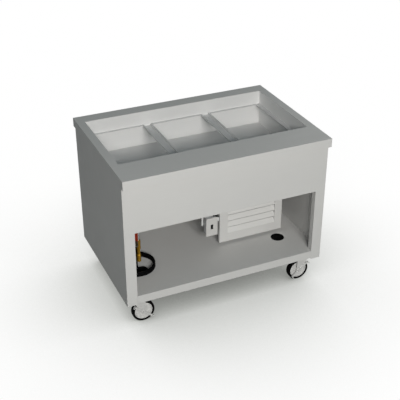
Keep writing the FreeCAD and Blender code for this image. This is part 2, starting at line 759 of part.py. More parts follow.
def caster_kingpin(side, end):
    """The swivel bolt: head over the plate, nut just under the fork's crown."""
    shank_low = crown_under - LOOSE - NUT_HEIGHT
    shank = rod(KINGPIN_R, swivel_point(side, end, shank_low), UP, caster_height - shank_low)
    head = rod(KINGPIN_HEAD_R, swivel_point(side, end, caster_height), UP, KINGPIN_HEAD)
    nut = hexagon(KINGPIN_HEAD_R, swivel_point(side, end, shank_low), UP, NUT_HEIGHT)
    return joined([shank, head, nut])


def plate_bolt(point):
    """A bolt up through plate and channel, with its nut."""
    low = point + UP * (plate_under - BOLT_HEAD)
    head = hexagon(BOLT_HEAD_R, low, UP, BOLT_HEAD)
    length = BOLT_HEAD + PLATE_THICK + CHANNEL_SHEET + NUT_HEIGHT + 2
    shank = rod(PLATE_BOLT_R, low, UP, length)
    nut = hexagon(BOLT_HEAD_R, point + UP * web_top, UP, NUT_HEIGHT)
    return joined([head, shank, nut])


def caster_fork(side, end):
    """The yoke: lower race and crown round the kingpin, and two legs down to the axle."""
    centre = swivel_point(side, end, 0)
    wheel = wheel_centre(side, end)
    toward = -side                      # the way the wheel trails
    head_r = RACE_R - 2
    race = Part.makeCone(head_r, head_r - 5, CROWN_THICK, centre + UP * crown_under, UP)
    crown_x = sorted((centre.x - toward * 22, wheel.x + toward * 8))
    crown = block(crown_x[0], crown_x[1], centre.y - leg_out, centre.y + leg_out,
                  crown_under, crown_under + FORK_SHEET)
    pieces = [race, crown]
    for leg_side in (-1, 1):
        y = centre.y + leg_side * leg_in
        outline = [
            Vector(crown_x[0], y, crown_under + FORK_SHEET),
            Vector(crown_x[1], y, crown_under + FORK_SHEET),
            Vector(wheel.x + LEG_EYE_R, y, wheel.z),
            Vector(wheel.x - LEG_EYE_R, y, wheel.z),
        ]
        if toward < 0:
            outline = [
                Vector(crown_x[1], y, crown_under + FORK_SHEET),
                Vector(crown_x[0], y, crown_under + FORK_SHEET),
                Vector(wheel.x - LEG_EYE_R, y, wheel.z),
                Vector(wheel.x + LEG_EYE_R, y, wheel.z),
            ]
        way = BACK * leg_side
        pieces.append(slab(outline, way, FORK_SHEET))
        pieces.append(rod(LEG_EYE_R, Vector(wheel.x, y, wheel.z), way, FORK_SHEET))
    body = joined(pieces)
    body = body.cut(rod(KINGPIN_R + KINGPIN_FIT, centre + UP * (crown_under - 1), UP, CROWN_THICK + 2))
    return body.cut(rod(AXLE_R + AXLE_FIT, wheel + BACK * -(leg_out + 1), BACK, 2 * leg_out + 2))


def caster_axle(side, end):
    """The axle bolt with head and nut, and the spanner bushing that the wheel turns on."""
    wheel = wheel_centre(side, end)
    braked = end < 0
    front_stack = LEVER_THICK + 2 * LOOSE if braked else 0
    front_face = leg_out + front_stack
    shank = rod(AXLE_R, wheel + FRONT * front_face, BACK, front_face + leg_out)
    head = rod(AXLE_HEAD_R, wheel + FRONT * (front_face + AXLE_HEAD), BACK, AXLE_HEAD)
    nut = hexagon(AXLE_HEAD_R, wheel + BACK * leg_out, BACK, AXLE_HEAD)
    bolt = joined([shank, head, nut])
    bush = rod(BUSH_R, wheel + FRONT * leg_in, BACK, 2 * leg_in)
    bush = bush.cut(rod(AXLE_R + AXLE_FIT, wheel + FRONT * (leg_in + 1), BACK, 2 * leg_in + 2))
    return [bolt, bush]


def wheel_hub(side, end):
    """A dished wheel body: boss, web and rim."""
    rim = HUB_WIDTH / 2
    web = HUB_WEB / 2
    boss = WHEEL_WIDTH / 2
    bore = BUSH_R + BUSH_FIT
    half = [(bore, boss), (HUB_BOSS_R - 2, boss), (HUB_BOSS_R, boss - 2), (HUB_BOSS_R + 2, web),
            (HUB_DISH_R, web), (HUB_DISH_R + 3, rim), (HUB_R, rim)]
    other = [(r, -a) for r, a in reversed(half)]
    return turned(half + other, wheel_centre(side, end), BACK)


def tyre(side, end):
    """The tyre: flat tread, rounded edges and sides down to the rim."""
    rim = HUB_WIDTH / 2
    shoulder = WHEEL_R - TYRE_EDGE
    half = [(HUB_R, rim), (HUB_R + 3, WHEEL_WIDTH / 2 - 1), (shoulder, WHEEL_WIDTH / 2),
            (WHEEL_R - 1, (WHEEL_WIDTH + TYRE_CROWN) / 4 + 1), (WHEEL_R, TYRE_CROWN / 2)]
    other = [(r, -a) for r, a in reversed(half)]
    return turned(half + other, wheel_centre(side, end), BACK)


def brake_lever(side, end):
    """A pedal on the axle outside the fork's front leg, with a turned-out pad at each end."""
    wheel = wheel_centre(side, end)
    y = wheel.y - leg_out - LOOSE
    up_way = Vector(side * math.cos(math.radians(LEVER_ANGLE)), 0, math.sin(math.radians(LEVER_ANGLE)))
    across = Vector(-up_way.z, 0, up_way.x)
    hub = Vector(wheel.x, y, wheel.z)
    half = LEVER_WIDTH / 2
    outline = [
        hub + up_way * LEVER_UP_ARM + across * (half - 3),
        hub - up_way * LEVER_LOW_ARM + across * (half - 3),
        hub - up_way * LEVER_LOW_ARM - across * (half - 3),
        hub + up_way * LEVER_UP_ARM - across * (half - 3),
    ]
    pieces = [slab(outline, FRONT, LEVER_THICK), rod(half + 2, hub, FRONT, LEVER_THICK)]
    for reach in (LEVER_UP_ARM, -LEVER_LOW_ARM):
        tip = hub + up_way * reach
        inward = up_way * (-LEVER_THICK if reach > 0 else LEVER_THICK)
        pad = [tip + across * half, tip - across * half,
               tip - across * half + inward, tip + across * half + inward]
        pieces.append(slab(pad, FRONT, LEVER_PAD))
    body = joined(pieces)
    return body.cut(rod(AXLE_R + BUSH_FIT, hub + BACK, FRONT, LEVER_THICK + 2))


# ---- Drain --------------------------------------------------------------------------------------
def drain_strainer():
    """A flanged strainer whose spigot passes through the insulation."""
    spigot_low = jacket_under - SPIGOT_BELOW_JACKET
    flange = rod(STRAINER_FLANGE_R, drain + UP * well_floor, UP, STRAINER_FLANGE)
    spigot = rod(SPIGOT_R, drain + UP * spigot_low, UP, well_floor - spigot_low)
    body = joined([flange, spigot])
    socket = rod(NIPPLE_R + AXLE_FIT, drain + UP * (spigot_low - 1), UP, nipple_top - spigot_low + 1)
    throat = Part.makeCone(NIPPLE_BORE_R, THROAT_R, well_floor - 2 - nipple_top, drain + UP * nipple_top, UP)
    body = body.cut(socket).cut(throat)
    ring = SPIGOT_R - STRAINER_HOLE_R - STRAINER_RING
    holes = [drain] + [drain + Vector(ring * math.cos(a), ring * math.sin(a), 0)
                       for a in (math.radians(60 * i) for i in range(6))]
    for hole in holes:
        body = body.cut(rod(STRAINER_HOLE_R, hole + UP * (well_floor - 3), UP, STRAINER_FLANGE + 4))
    return body


def drain_nipple():
    low = valve_top - valve_seat
    pipe = rod(NIPPLE_R, drain + UP * low, UP, nipple_top - low)
    return pipe.cut(rod(NIPPLE_BORE_R, drain + UP * (low - 1), UP, nipple_top - low + 2))


def valve_body():
    """A ball valve's brass body: two hexagonal socket ends, a ball chamber and the stem's boss."""
    middle = drain + UP * valve_height
    chamber = rod(VALVE_R, drain + UP * (valve_bottom + 2), UP, 2 * VALVE_HALF - 4)
    boss = rod(STEM_BOSS_R, middle, FRONT, STEM_BOSS)
    pieces = [chamber, boss]
    for low in (valve_bottom, valve_top - VALVE_HEX):
        pieces.append(hexagon(VALVE_HEX_R, drain + UP * low, UP, VALVE_HEX))
    body = joined(pieces)
    body = body.cut(Part.makeSphere(BALL_R + BALL_GAP, middle))
    body = body.cut(rod(NIPPLE_R + AXLE_FIT, drain + UP * (valve_top - valve_seat), UP, valve_seat + 1))
    body = body.cut(rod(TAIL_NECK_R + AXLE_FIT, drain + UP * (valve_bottom - 1), UP, valve_seat + 1))
    body = body.cut(rod(NIPPLE_BORE_R, drain + UP * valve_bottom, UP, 2 * VALVE_HALF))
    return faced(body.cut(rod(STEM_R + STEM_FIT, middle, FRONT, STEM_BOSS + 1)))


def faced(shape):
    """Turns a piece of the valve about the drain, from square to the front to the way its stem points."""
    shape.rotate(drain, UP, STEM_TURN)
    return shape


def valve_stem():
    """The bored ball, the stem and the nut that holds the handle."""
    middle = drain + UP * valve_height
    ball = Part.makeSphere(BALL_R, middle)
    ball = ball.cut(rod(BALL_BORE_R, middle + DOWN * BALL_R, UP, 2 * BALL_R))
    stem_end = STEM_BOSS + LOOSE + HANDLE_THICK
    stem = rod(STEM_R, middle + FRONT * (BALL_R - 3), FRONT, stem_end - BALL_R + 3)
    ball = ball.cut(rod(STEM_R, middle + FRONT * (BALL_R - 3), FRONT, 4))
    nut = hexagon(STEM_NUT_R, middle + FRONT * stem_end, FRONT, STEM_NUT)
    return [faced(ball), faced(joined([stem, nut]))]


def valve_handle():
    """A pressed lever, vertical while the valve is open, with skirts along its grip."""
    hub = drain + UP * valve_height + FRONT * (STEM_BOSS + LOOSE)
    half = HANDLE_WIDTH / 2
    top = valve_height + HANDLE_LENGTH
    y1 = hub.y
    y0 = y1 - HANDLE_THICK
    plate = block(hub.x - half, hub.x + half, y0, y1, valve_height, top)
    eye = rod(half, hub, FRONT, HANDLE_THICK)
    pieces = [plate, eye]
    for side in (-1, 1):
        x0, x1 = sorted((hub.x + side * half, hub.x + side * (half - HANDLE_THICK)))
        pieces.append(block(x0, x1, y0 - HANDLE_SKIRT, y1, valve_height + HANDLE_SKIRT_FROM, top))
    body = joined(pieces)
    return faced(body.cut(rod(STEM_R + AXLE_FIT, hub + BACK, FRONT, HANDLE_THICK + 2)))


def drain_tail_pipe():
    """A short pipe from the valve, ending in a round hose fitting with a sloped shoulder."""
    fitting_top = HOSE_FITTING_HEIGHT - HOSE_FITTING_NECK
    shoulder = valve_bottom - tail_bottom
    length = shoulder + valve_seat
    profile = [(0, 0), (HOSE_FITTING_R - 1, 0), (HOSE_FITTING_R, 1), (HOSE_FITTING_R, fitting_top),
               (TAIL_R, HOSE_FITTING_HEIGHT), (TAIL_R, shoulder), (TAIL_NECK_R, shoulder),
               (TAIL_NECK_R, length), (0, length)]
    pipe = turned(profile, drain + UP * tail_bottom, UP)
    return pipe.cut(rod(TAIL_BORE_R, drain + UP * (tail_bottom - 1), UP, length + 2))


# ---- Condensing unit ----------------------------------------------------------------------------
def louvered_panel():
    """The unit's front: it hangs from the jacket, with blades that slope back between two cheeks."""
    back = panel_front + PANEL_SHEET
    rear = panel_front + PANEL_RETURN
    louvre_top = louvre_bottom + louvre_count * LOUVRE_PITCH
    sheet = block(panel_left, panel_right, panel_front, back, panel_bottom, jacket_under)
    sheet = sheet.cut(block(louvre_left, louvre_right, panel_front - 1, back + 1, louvre_bottom, louvre_top))
    cheek_back = panel_front + LOUVRE_DEPTH + PANEL_SHEET
    pieces = [
        sheet,
        block(panel_left, panel_left + PANEL_SHEET, back, rear, panel_bottom, jacket_under),
        block(panel_right - PANEL_SHEET, panel_right, back, rear, panel_bottom, jacket_under),
        block(panel_left, panel_right, back, rear, jacket_under - PANEL_SHEET, jacket_under),
        block(louvre_left - PANEL_SHEET, louvre_left, panel_front, cheek_back, louvre_bottom, louvre_top),
        block(louvre_right, louvre_right + PANEL_SHEET, panel_front, cheek_back, louvre_bottom, louvre_top),
    ]
    for i in range(louvre_count):
        low = louvre_bottom + i * LOUVRE_PITCH
        high = min(low + LOUVRE_HEIGHT, louvre_top)
        outline = [
            Vector(louvre_left, panel_front, low),
            Vector(louvre_left, panel_front + PANEL_SHEET, low),
            Vector(louvre_left, panel_front + LOUVRE_DEPTH + PANEL_SHEET, high),
            Vector(louvre_left, panel_front + LOUVRE_DEPTH, high),
        ]
        pieces.append(slab(outline, RIGHT, louvre_right - louvre_left))
    body = joined(pieces)
    hole = rod(CABLE_R + LOOSE, Vector(panel_left - 1, cable_y, cable_height), RIGHT, PANEL_SHEET + 2)
    return body.cut(hole)


def base_front():
    return condenser_front + BASE_SETBACK


def unit_base():
    """A folded tray on the shelf, L-shaped in plan, under condenser, fan and compressor."""
    rear = base_front() + BASE_DEPTH
    step_y = condenser_back + BASE_LIP
    left = condenser_left - BASE_LIP
    outer = joined([
        block(left, base_right, base_front(), step_y, SHELF_HEIGHT, base_top),
        block(base_step_x, base_right, base_front(), rear, SHELF_HEIGHT, base_top),
    ])
    wall = BASE_SHEET
    under = base_top - BASE_SHEET
    outer = outer.cut(block(left + wall, base_right - wall, base_front() + wall, step_y - wall,
                            SHELF_HEIGHT - 1, under))
    return outer.cut(block(base_step_x + wall, base_right - wall, base_front() + wall, rear - wall,
                           SHELF_HEIGHT - 1, under))


def condenser_coil():
    """A fin block between two end plates, with the tubes' hairpin bends outside the right plate."""
    fins_front = condenser_front + 2
    fins_back = condenser_back - 2
    pieces = [block(condenser_left, condenser_right, fins_front, fins_back, base_top + 4, condenser_top - 4)]
    for x in (condenser_left, condenser_right - CONDENSER_END):
        pieces.append(block(x, x + CONDENSER_END, condenser_front, condenser_back, base_top, condenser_top))
    y = (condenser_front + condenser_back) / 2
    z = base_top + HAIRPIN_PITCH / 2
    while z + HAIRPIN_PITCH / 2 < condenser_top:
        start = condenser_right - CONDENSER_END
        reach = start + CONDENSER_END + HAIRPIN_BEND + HAIRPIN_R
        path = [Vector(start, y, z), Vector(reach, y, z),
                Vector(reach, y, z + HAIRPIN_PITCH / 2), Vector(start, y, z + HAIRPIN_PITCH / 2)]
        pieces.append(bent_tube(path, [HAIRPIN_BEND * 0.98] * 2, HAIRPIN_R))
        z += HAIRPIN_PITCH
    return joined(pieces)


def fan_shroud():
    """A shallow box behind the condenser with a collared round hole."""
    outer = block(condenser_left, condenser_right, condenser_back, shroud_back, base_top, condenser_top)
    wall = SHROUD_SHEET
    outer = outer.cut(block(condenser_left + wall, condenser_right - wall, condenser_back - 1,
                            shroud_back - wall, base_top + wall, condenser_top - wall))
    centre = Vector(fan_x, shroud_back - SHROUD_COLLAR, fan_z)
    collar = rod(SHROUD_HOLE_R + wall, centre, BACK, SHROUD_COLLAR)
    body = joined([outer, collar])
    return body.cut(rod(SHROUD_HOLE_R, centre + FRONT * SHROUD_DEPTH, BACK, 3 * SHROUD_DEPTH))


def fan_blade():
    """A hub with pitched blades on the motor's shaft."""
    hub_front = Vector(fan_x, shroud_back - SHROUD_COLLAR - 4, fan_z)
    hub = rod(FAN_HUB_R, hub_front, BACK, FAN_HUB)
    middle = hub_front + BACK * (FAN_HUB / 2)
    pieces = [hub]
    for i in range(FAN_BLADES):
        blade = block(middle.x + FAN_HUB_R - 4, middle.x + FAN_R * 0.97,
                      middle.y - FAN_BLADE_THICK / 2, middle.y + FAN_BLADE_THICK / 2,
                      middle.z - 0.28 * FAN_R, middle.z + 0.28 * FAN_R)
        blade = blade.common(rod(FAN_R, hub_front + FRONT * 20, BACK, 60))
        blade.rotate(middle, RIGHT, FAN_BLADE_PITCH)
        blade.rotate(middle, BACK, 360 / FAN_BLADES * i)
        pieces.append(blade)
    body = joined(pieces)
    return body.cut(rod(MOTOR_SHAFT_R + SHAFT_FIT, hub_front + BACK * 4, BACK, FAN_HUB))


def fan_motor():
    """The motor, its shaft and the four legs that stand on the shroud."""
    front = Vector(fan_x, motor_front, fan_z)
    shaft_end = shroud_back - SHROUD_COLLAR + 1
    pieces = [rod(MOTOR_R, front, BACK, MOTOR_LENGTH),
              rod(MOTOR_SHAFT_R, Vector(fan_x, shaft_end, fan_z), BACK, motor_front - shaft_end + 1)]
    for i in range(4):
        leg = block(fan_x - MOTOR_LEG_WIDTH / 2, fan_x + MOTOR_LEG_WIDTH / 2,
                    motor_front, motor_front + MOTOR_LEG_THICK, fan_z + MOTOR_R - 6, fan_z + MOTOR_LEG_REACH)
        foot = block(fan_x - MOTOR_LEG_WIDTH / 2, fan_x + MOTOR_LEG_WIDTH / 2,
                     shroud_back, motor_front + MOTOR_LEG_THICK,
                     fan_z + MOTOR_LEG_REACH - MOTOR_LEG_THICK, fan_z + MOTOR_LEG_REACH)
        for piece in (leg, foot):
            piece.rotate(front, BACK, 45 + 90 * i)
            pieces.append(piece)
    return joined(pieces)


def compressor():
    """A hermetic pot with a terminal cover, its mounting plate and four rubber feet."""
    low = base_top + COMPRESSOR_FOOT + COMPRESSOR_PLATE
    centre = Vector(compressor_x, compressor_y, low)
    dome = 0.35 * COMPRESSOR_R
    high = COMPRESSOR_HEIGHT
    profile = [(0, 0), (COMPRESSOR_R * 0.7, 0), (COMPRESSOR_R, dome), (COMPRESSOR_R, high - dome),
               (COMPRESSOR_R * 0.7, high - 6), (COMPRESSOR_R * 0.35, high), (0, high)]
    pot = turned(profile, centre, UP)
    half = COMPRESSOR_R - 4
    plate = block(compressor_x - half, compressor_x + half, compressor_y - half, compressor_y + half,
                  low - COMPRESSOR_PLATE, low)
    side_x = compressor_x + COMPRESSOR_R
    cover = block(side_x - 8, side_x + TERMINAL_DEPTH, compressor_y - TERMINAL_WIDTH / 2,
                  compressor_y + TERMINAL_WIDTH / 2, terminal_top - TERMINAL_HEIGHT, terminal_top)
    body = joined([pot, plate, cover])
    reach = half - COMPRESSOR_FOOT_R
    feet = [rod(COMPRESSOR_FOOT_R, Vector(compressor_x + sx * reach, compressor_y + sy * reach, base_top),
                UP, COMPRESSOR_FOOT) for sx in (-1, 1) for sy in (-1, 1)]
    return [body] + feet


def suction_line():
    """The insulated return line: down from the well, then back and across to the compressor."""
    y = panel_front
    port = Vector(compressor_x - COMPRESSOR_R, compressor_y, suction_port)
    points = [
        Vector(suction_x, y, jacket_under),
        Vector(suction_x, y, suction_elbow),
        Vector(suction_x + 0.45 * SUCTION_BEND, y + 1.15 * SUCTION_BEND, suction_elbow - SUCTION_FALL / 2),
        Vector(suction_x + 1.55 * SUCTION_BEND, y + 2.15 * SUCTION_BEND, suction_elbow - SUCTION_FALL),
        Vector(port.x - SUCTION_BEND, port.y, suction_port),
        port,
    ]
    return bent_tube(points, [SUCTION_BEND / 2, SUCTION_BEND * 0.75, SUCTION_BEND, SUCTION_BEND], SUCTION_R)


def refrigerant_lines():
    """The hot line from compressor to condenser, and the liquid line with its filter drier."""
    y = (condenser_front + condenser_back) / 2
    inlet = Vector(condenser_right, y, condenser_top - LIQUID_PORT)
    head_top = base_top + COMPRESSOR_FOOT + COMPRESSOR_PLATE + COMPRESSOR_HEIGHT
    outlet = Vector(compressor_x, compressor_y, head_top)
    out_x = inlet.x + HOT_LINE_OUT
    hot_points = [outlet, Vector(outlet.x, outlet.y, inlet.z), Vector(out_x, outlet.y, inlet.z),
                  Vector(out_x, y, inlet.z), inlet]
    hot = bent_tube(hot_points, [HOT_LINE_BEND, HOT_LINE_BEND, LIQUID_BEND], LIQUID_R)
    port = Vector(condenser_right, y, base_top + LIQUID_PORT)
    low_points = [port, Vector(liquid_x, y, port.z), Vector(liquid_x, liquid_y, drier_bottom - 20),
                  Vector(liquid_x, liquid_y, drier_bottom)]
    low = bent_tube(low_points, [LIQUID_BEND, LIQUID_BEND], LIQUID_R)
    drier_top = drier_bottom + DRIER_LENGTH
    profile = [(0, 0), (LIQUID_R + 1, 0), (DRIER_R, DRIER_NECK), (DRIER_R, DRIER_LENGTH - DRIER_NECK),
               (LIQUID_R + 1, DRIER_LENGTH), (0, DRIER_LENGTH)]
    drier = turned(profile, Vector(liquid_x, liquid_y, drier_bottom), UP)
    high = rod(LIQUID_R, Vector(liquid_x, liquid_y, drier_top), UP, jacket_under - drier_top)
    return [hot, low, drier, high]


# ---- Switch -------------------------------------------------------------------------------------
def switch_box():
    """The box behind the plate, with an ear to the panel's side return and a gland on top."""
    half_x = SWITCH_BOX_WIDTH / 2
    half_z = SWITCH_BOX_HEIGHT / 2
    back = plate_back + SWITCH_BOX_DEPTH
    wall = SWITCH_BOX_WALL
    body = block(switch_x - half_x, switch_x + half_x, plate_back, back, switch_z - half_z, switch_z + half_z)
    ear_top = switch_z + half_z - 6
    ear = block(switch_x + half_x - wall, panel_left, cable_y - EAR_THICK / 2, cable_y + EAR_THICK / 2,
                ear_top - EAR_HEIGHT, ear_top)
    gland = rod(GLAND_R, Vector(cable_x, cable_y, box_top), UP, GLAND_HEIGHT)
    body = joined([body, ear, gland])
    body = body.cut(block(switch_x - half_x + wall, switch_x + half_x - wall, plate_back - 1, back - wall,
                          switch_z - half_z + wall, switch_z + half_z - wall))
    body = body.cut(rod(CABLE_R + LOOSE, Vector(cable_x, cable_y, box_top - wall - 1), UP,
                        GLAND_HEIGHT + wall + 2))
    return body


def switch_plate():
    """The cover plate with the rocker's frame on its back."""
    half_x = SWITCH_PLATE_WIDTH / 2
    half_z = SWITCH_PLATE_HEIGHT / 2
    plate = block(switch_x - half_x, switch_x + half_x, panel_front, plate_back,
                  switch_z - half_z, switch_z + half_z)
    corners = [e for e in plate.Edges if abs(e.tangentAt(e.FirstParameter).y) > 0.9]
    plate = plate.makeFillet(3.0, corners)
    slot_x = ROCKER_WIDTH / 2 + ROCKER_CLEARANCE
    slot_z = ROCKER_HEIGHT / 2 + ROCKER_CLEARANCE
    frame = block(switch_x - slot_x - FRAME_WALL, switch_x + slot_x + FRAME_WALL, panel_front + 0.5,
                  plate_back + FRAME_DEPTH, switch_z - slot_z - FRAME_WALL, switch_z + slot_z + FRAME_WALL)
    body = joined([plate, frame])
    body = body.cut(block(switch_x - slot_x, switch_x + slot_x, panel_front - 1,
                          plate_back + FRAME_DEPTH + 1, switch_z - slot_z, switch_z + slot_z))
    pin = rod(ROCKER_PIN_R + ROCKER_PIN_FIT, rocker_pivot() - RIGHT * (slot_x + FRAME_WALL + 1), RIGHT,
              2 * (slot_x + FRAME_WALL + 1))
    body = body.cut(pin)
    for point in screw_points():
        body = body.cut(rod(SCREW_R + LOOSE, point + FRONT, BACK, SWITCH_PLATE_THICK + 3))
    return body


def rocker_pivot():
    return Vector(switch_x, plate_back + ROCKER_DEPTH / 2, switch_z)


def rocker_switch():
    """A rocker with two sloping faces that meet at its middle, on a cross pin."""
    half_z = ROCKER_HEIGHT / 2
    front = panel_front - ROCKER_PROUD
    back = plate_back + ROCKER_DEPTH
    slope = half_z * math.tan(math.radians(ROCKER_TILT))
    x = switch_x - ROCKER_WIDTH / 2
    taper = 2.2                      # the ends narrow towards the back, so that the rocker can tilt
    outline = [
        Vector(x, front, switch_z + half_z - 1.2),
        Vector(x, front + slope, switch_z),
        Vector(x, front, switch_z - half_z + 1.2),
        Vector(x, panel_front + 0.4, switch_z - half_z + 0.6),
        Vector(x, back, switch_z - half_z + taper),
        Vector(x, back, switch_z + half_z - taper),
        Vector(x, panel_front + 0.4, switch_z + half_z - 0.6),
    ]
    body = slab(outline, RIGHT, ROCKER_WIDTH)
    reach = ROCKER_WIDTH / 2 + ROCKER_CLEARANCE + FRAME_WALL
    pin = rod(ROCKER_PIN_R, rocker_pivot() - RIGHT * reach, RIGHT, 2 * reach)
    return joined([body, pin])


def screw_points():
    return [Vector(switch_x, panel_front, switch_z + s * SCREW_SPACING / 2) for s in (-1, 1)]


def plate_screw(point):
    """An oval head on the plate and a short shank behind it."""
    head = Part.makeCone(SCREW_HEAD_R, SCREW_HEAD_R - 1, SCREW_HEAD, point, FRONT)
    slot = block(point.x - SCREW_HEAD_R, point.x + SCREW_HEAD_R, point.y - SCREW_HEAD - 1,
                 point.y - SCREW_HEAD / 2, point.z - 0.4, point.z + 0.4)
    shank = rod(SCREW_R, point, BACK, SWITCH_PLATE_THICK + 8)
    return joined([head.cut(slot), shank])


def control_cable():
    """From the switch box through the panel's return, over the condenser, to the compressor."""
    terminal_x = compressor_x + COMPRESSOR_R + TERMINAL_DEPTH / 2
    points = [
        Vector(cable_x, cable_y, box_top - SWITCH_BOX_WALL),
        Vector(cable_x, cable_y, cable_height),
        Vector(cable_rise_x, cable_y, cable_height),
        Vector(cable_rise_x, cable_y, cable_over),
        Vector(cable_rise_x, compressor_y, cable_over),
        Vector(terminal_x, compressor_y, cable_over),
        Vector(terminal_x, compressor_y, terminal_top),
    ]
    return bent_tube(points, [CABLE_BEND, CABLE_BEND, CABLE_SWEEP, CABLE_SWEEP, CABLE_SWEEP], CABLE_R)


# ---- Power cord ---------------------------------------------------------------------------------
# The cord hangs straight from the strain relief, lands inside the coil and turns into it.
landing_top = cord_level + LANDING_HEIGHT + 2 * CORD_R


def strain_relief():
    """A flanged gland that tapers round the cord."""
    bore = CORD_R + LOOSE
    end = -RELIEF_LENGTH
    profile = [(bore, 0), (RELIEF_FLANGE_R, 0), (RELIEF_FLANGE_R, -RELIEF_FLANGE), (RELIEF_R, -RELIEF_FLANGE - 1),
               (RELIEF_TIP_R, end), (0, end), (0, end + RELIEF_SEAT), (bore, end + RELIEF_SEAT)]
    return turned(profile, Vector(cord_x, cord_y, jacket_under), UP)


def cord_drop():
    """The hanging stretch, straight under its own weight."""
    body = rod(CORD_R, Vector(cord_x, cord_y, landing_top), UP, relief_bottom - landing_top)
    print("cord drop: straight, length", round(relief_bottom - landing_top, 1),
          "volume ratio", round(body.Volume / (math.pi * CORD_R ** 2 * (relief_bottom - landing_top)), 5))
    return body


def ring_node(angle, radius, level):
    """A point of the coil and its direction there: clockwise from above, level."""
    a = math.radians(angle)
    z = cord_level + level * coil_step
    point = Vector(coil_x + radius * math.cos(a), coil_y + radius * math.sin(a), z)
    return point, Vector(math.sin(a), -math.cos(a), 0)


def arc_from(start, tangent, end):
    """The arc that leaves start along tangent and ends at end."""
    chord = end - start
    normal = chord - tangent * chord.dot(tangent)
    if normal.Length < 1e-6 * chord.Length:
        return Part.LineSegment(start, end)
    normal.normalize()
    radius = chord.Length ** 2 / (2 * chord.dot(normal))
    centre = start + normal * radius
    middle = (start - centre) + (end - centre)
    middle.normalize()
    return Part.Arc(start, centre + middle * radius, end)


def biarc(start, start_way, end, end_way):
    """Two tangent arcs from one point and direction to another."""
    gap = end - start
    along = gap.dot(start_way + end_way)
    turn = 2 * (1 - start_way.dot(end_way))
    if turn < 1e-9:
        reach = gap.dot(gap) / (2 * along)
    else:
        reach = (-along + math.sqrt(along * along + turn * gap.dot(gap))) / turn
    corner_a = start + start_way * reach
    corner_b = end - end_way * reach
    middle = (corner_a + corner_b) * 0.5
    way = (corner_b - corner_a).normalize()
    return [arc_from(start, start_way, middle), arc_from(middle, way, end)]


def shelf_node(dx, dy, azimuth):
    """A point of the lowest strand, from the coil's middle, and its direction in degrees from X."""
    a = math.radians(azimuth)
    return Vector(coil_x + dx, coil_y + dy, cord_level), Vector(math.cos(a), math.sin(a), 0)


def coil_nodes():
    """Landing, inner strand, three stacked turns that climb behind the left post, and the tail."""
    nodes = [(Vector(cord_x, cord_y, landing_top), DOWN),
             (Vector(cord_x, cord_y, landing_top - 2 * CORD_R), DOWN)]
    nodes += [shelf_node(27, -35, -38), shelf_node(38, -60, -82)]
    nodes += [ring_node(-90, coil_inner_r, 0), ring_node(-162, coil_inner_r, 0)]
    for turn in (0, 1, 2):
        start = -360 * turn
        nodes.append(ring_node(start - (220 if turn == 0 else 175), COIL_R, turn))
        nodes += [ring_node(start - 300, COIL_R, turn), ring_node(start - 385, COIL_R, turn)]
        nodes.append(ring_node(start - (465 if turn < 2 else 460), COIL_R, turn))
    top = cord_level + 2 * coil_step
    tail_x = coil_x - TAIL_OFFSET
    nodes.append((Vector(tail_x, coil_y - 54, top), BACK))
    nodes.append((Vector(tail_x, coil_y - 14, plug_level), BACK))
    nodes.append((Vector(tail_x, coil_y - 14 + 2 * CORD_R, plug_level), BACK))
    return nodes


def least_gap(wire, step):
    """The least distance between two stretches of the coil, less the cord's own thickness."""
    count = int(wire.Length / step)
    points = wire.discretize(Number=count)
    skip = int(60 / step)
    least = 1e9
    for i in range(0, count - skip):
        for j in range(i + skip, count):
            least = min(least, points[i].distanceToPoint(points[j]))
    return least - 2 * CORD_R


def cord_coil():
    nodes = coil_nodes()
    edges = [Part.LineSegment(nodes[0][0], nodes[1][0]).toShape()]
    for (start, start_way), (end, end_way) in zip(nodes[1:-2], nodes[2:-1]):
        for curve in biarc(start, start_way, end, end_way):
            edges.append(curve.toShape())
    edges.append(Part.LineSegment(nodes[-2][0], nodes[-1][0]).toShape())
    wire = Part.Wire(edges)
    body = swept(wire, CORD_R)
    tightest = min(e.Curve.Radius for e in edges if hasattr(e.Curve, "Radius"))
    print("cord coil: length", round(wire.Length, 1), "tightest radius", round(tightest, 1),
          "least gap", round(least_gap(wire, 4.0), 2),
          "volume ratio", round(body.Volume / (math.pi * CORD_R ** 2 * wire.Length), 5))
    return body


def cord_plug():
    """A moulded plug lying on the shelf inside the coil, with two blades and a round pin."""
    start = coil_nodes()[-1][0]
    neck = Part.makeCone(CORD_R + 1.5, PLUG_NECK_R, PLUG_NECK, start, BACK)
    grip_start = start + BACK * PLUG_NECK
    grip = turned([(0, 0), (PLUG_NECK_R, 0), (PLUG_R, 8), (PLUG_R, PLUG_LENGTH - PLUG_NECK - 3),
                   (PLUG_R - 3, PLUG_LENGTH - PLUG_NECK), (0, PLUG_LENGTH - PLUG_NECK)], grip_start, BACK)
    pieces = [neck, grip]
    face = start + BACK * (PLUG_LENGTH - 1)
    for side in (-1, 1):
        x = face.x + side * BLADE_SPACING / 2
        pieces.append(block(x - BLADE_THICK / 2, x + BLADE_THICK / 2, face.y, face.y + BLADE_LENGTH + 1,
                            face.z, face.z + BLADE_WIDTH))
    pin = face + DOWN * PIN_DROP
    pieces.append(rod(PIN_R, pin, BACK, BLADE_LENGTH + 3))
    return joined(pieces)


# ---- All nodes ----------------------------------------------------------------------------------
os.makedirs("parts", exist_ok=True)

save("countertop", [countertop()])
save("well_liner", [well_liner()])
save("pan_ledge", [pan_ledge()])
save("well_insulation", [well_insulation()])
save("well_jacket", [well_jacket()])
save("evaporator_coil", [evaporator_coil()])
for name, x in zip(("divider_bar_left", "divider_bar_right"), bar_centres()):
    save(name, [divider_bar(x)])

save("front_panel", [front_panel()])
save("left_side_panel", [side_panel(-1)])
save("right_side_panel", [side_panel(1)])
save("rear_panel", [rear_panel()])
save("bottom_shelf", [bottom_shelf()])
save("shelf_grommets", [shelf_grommet(side) for side in (-1, 1)])

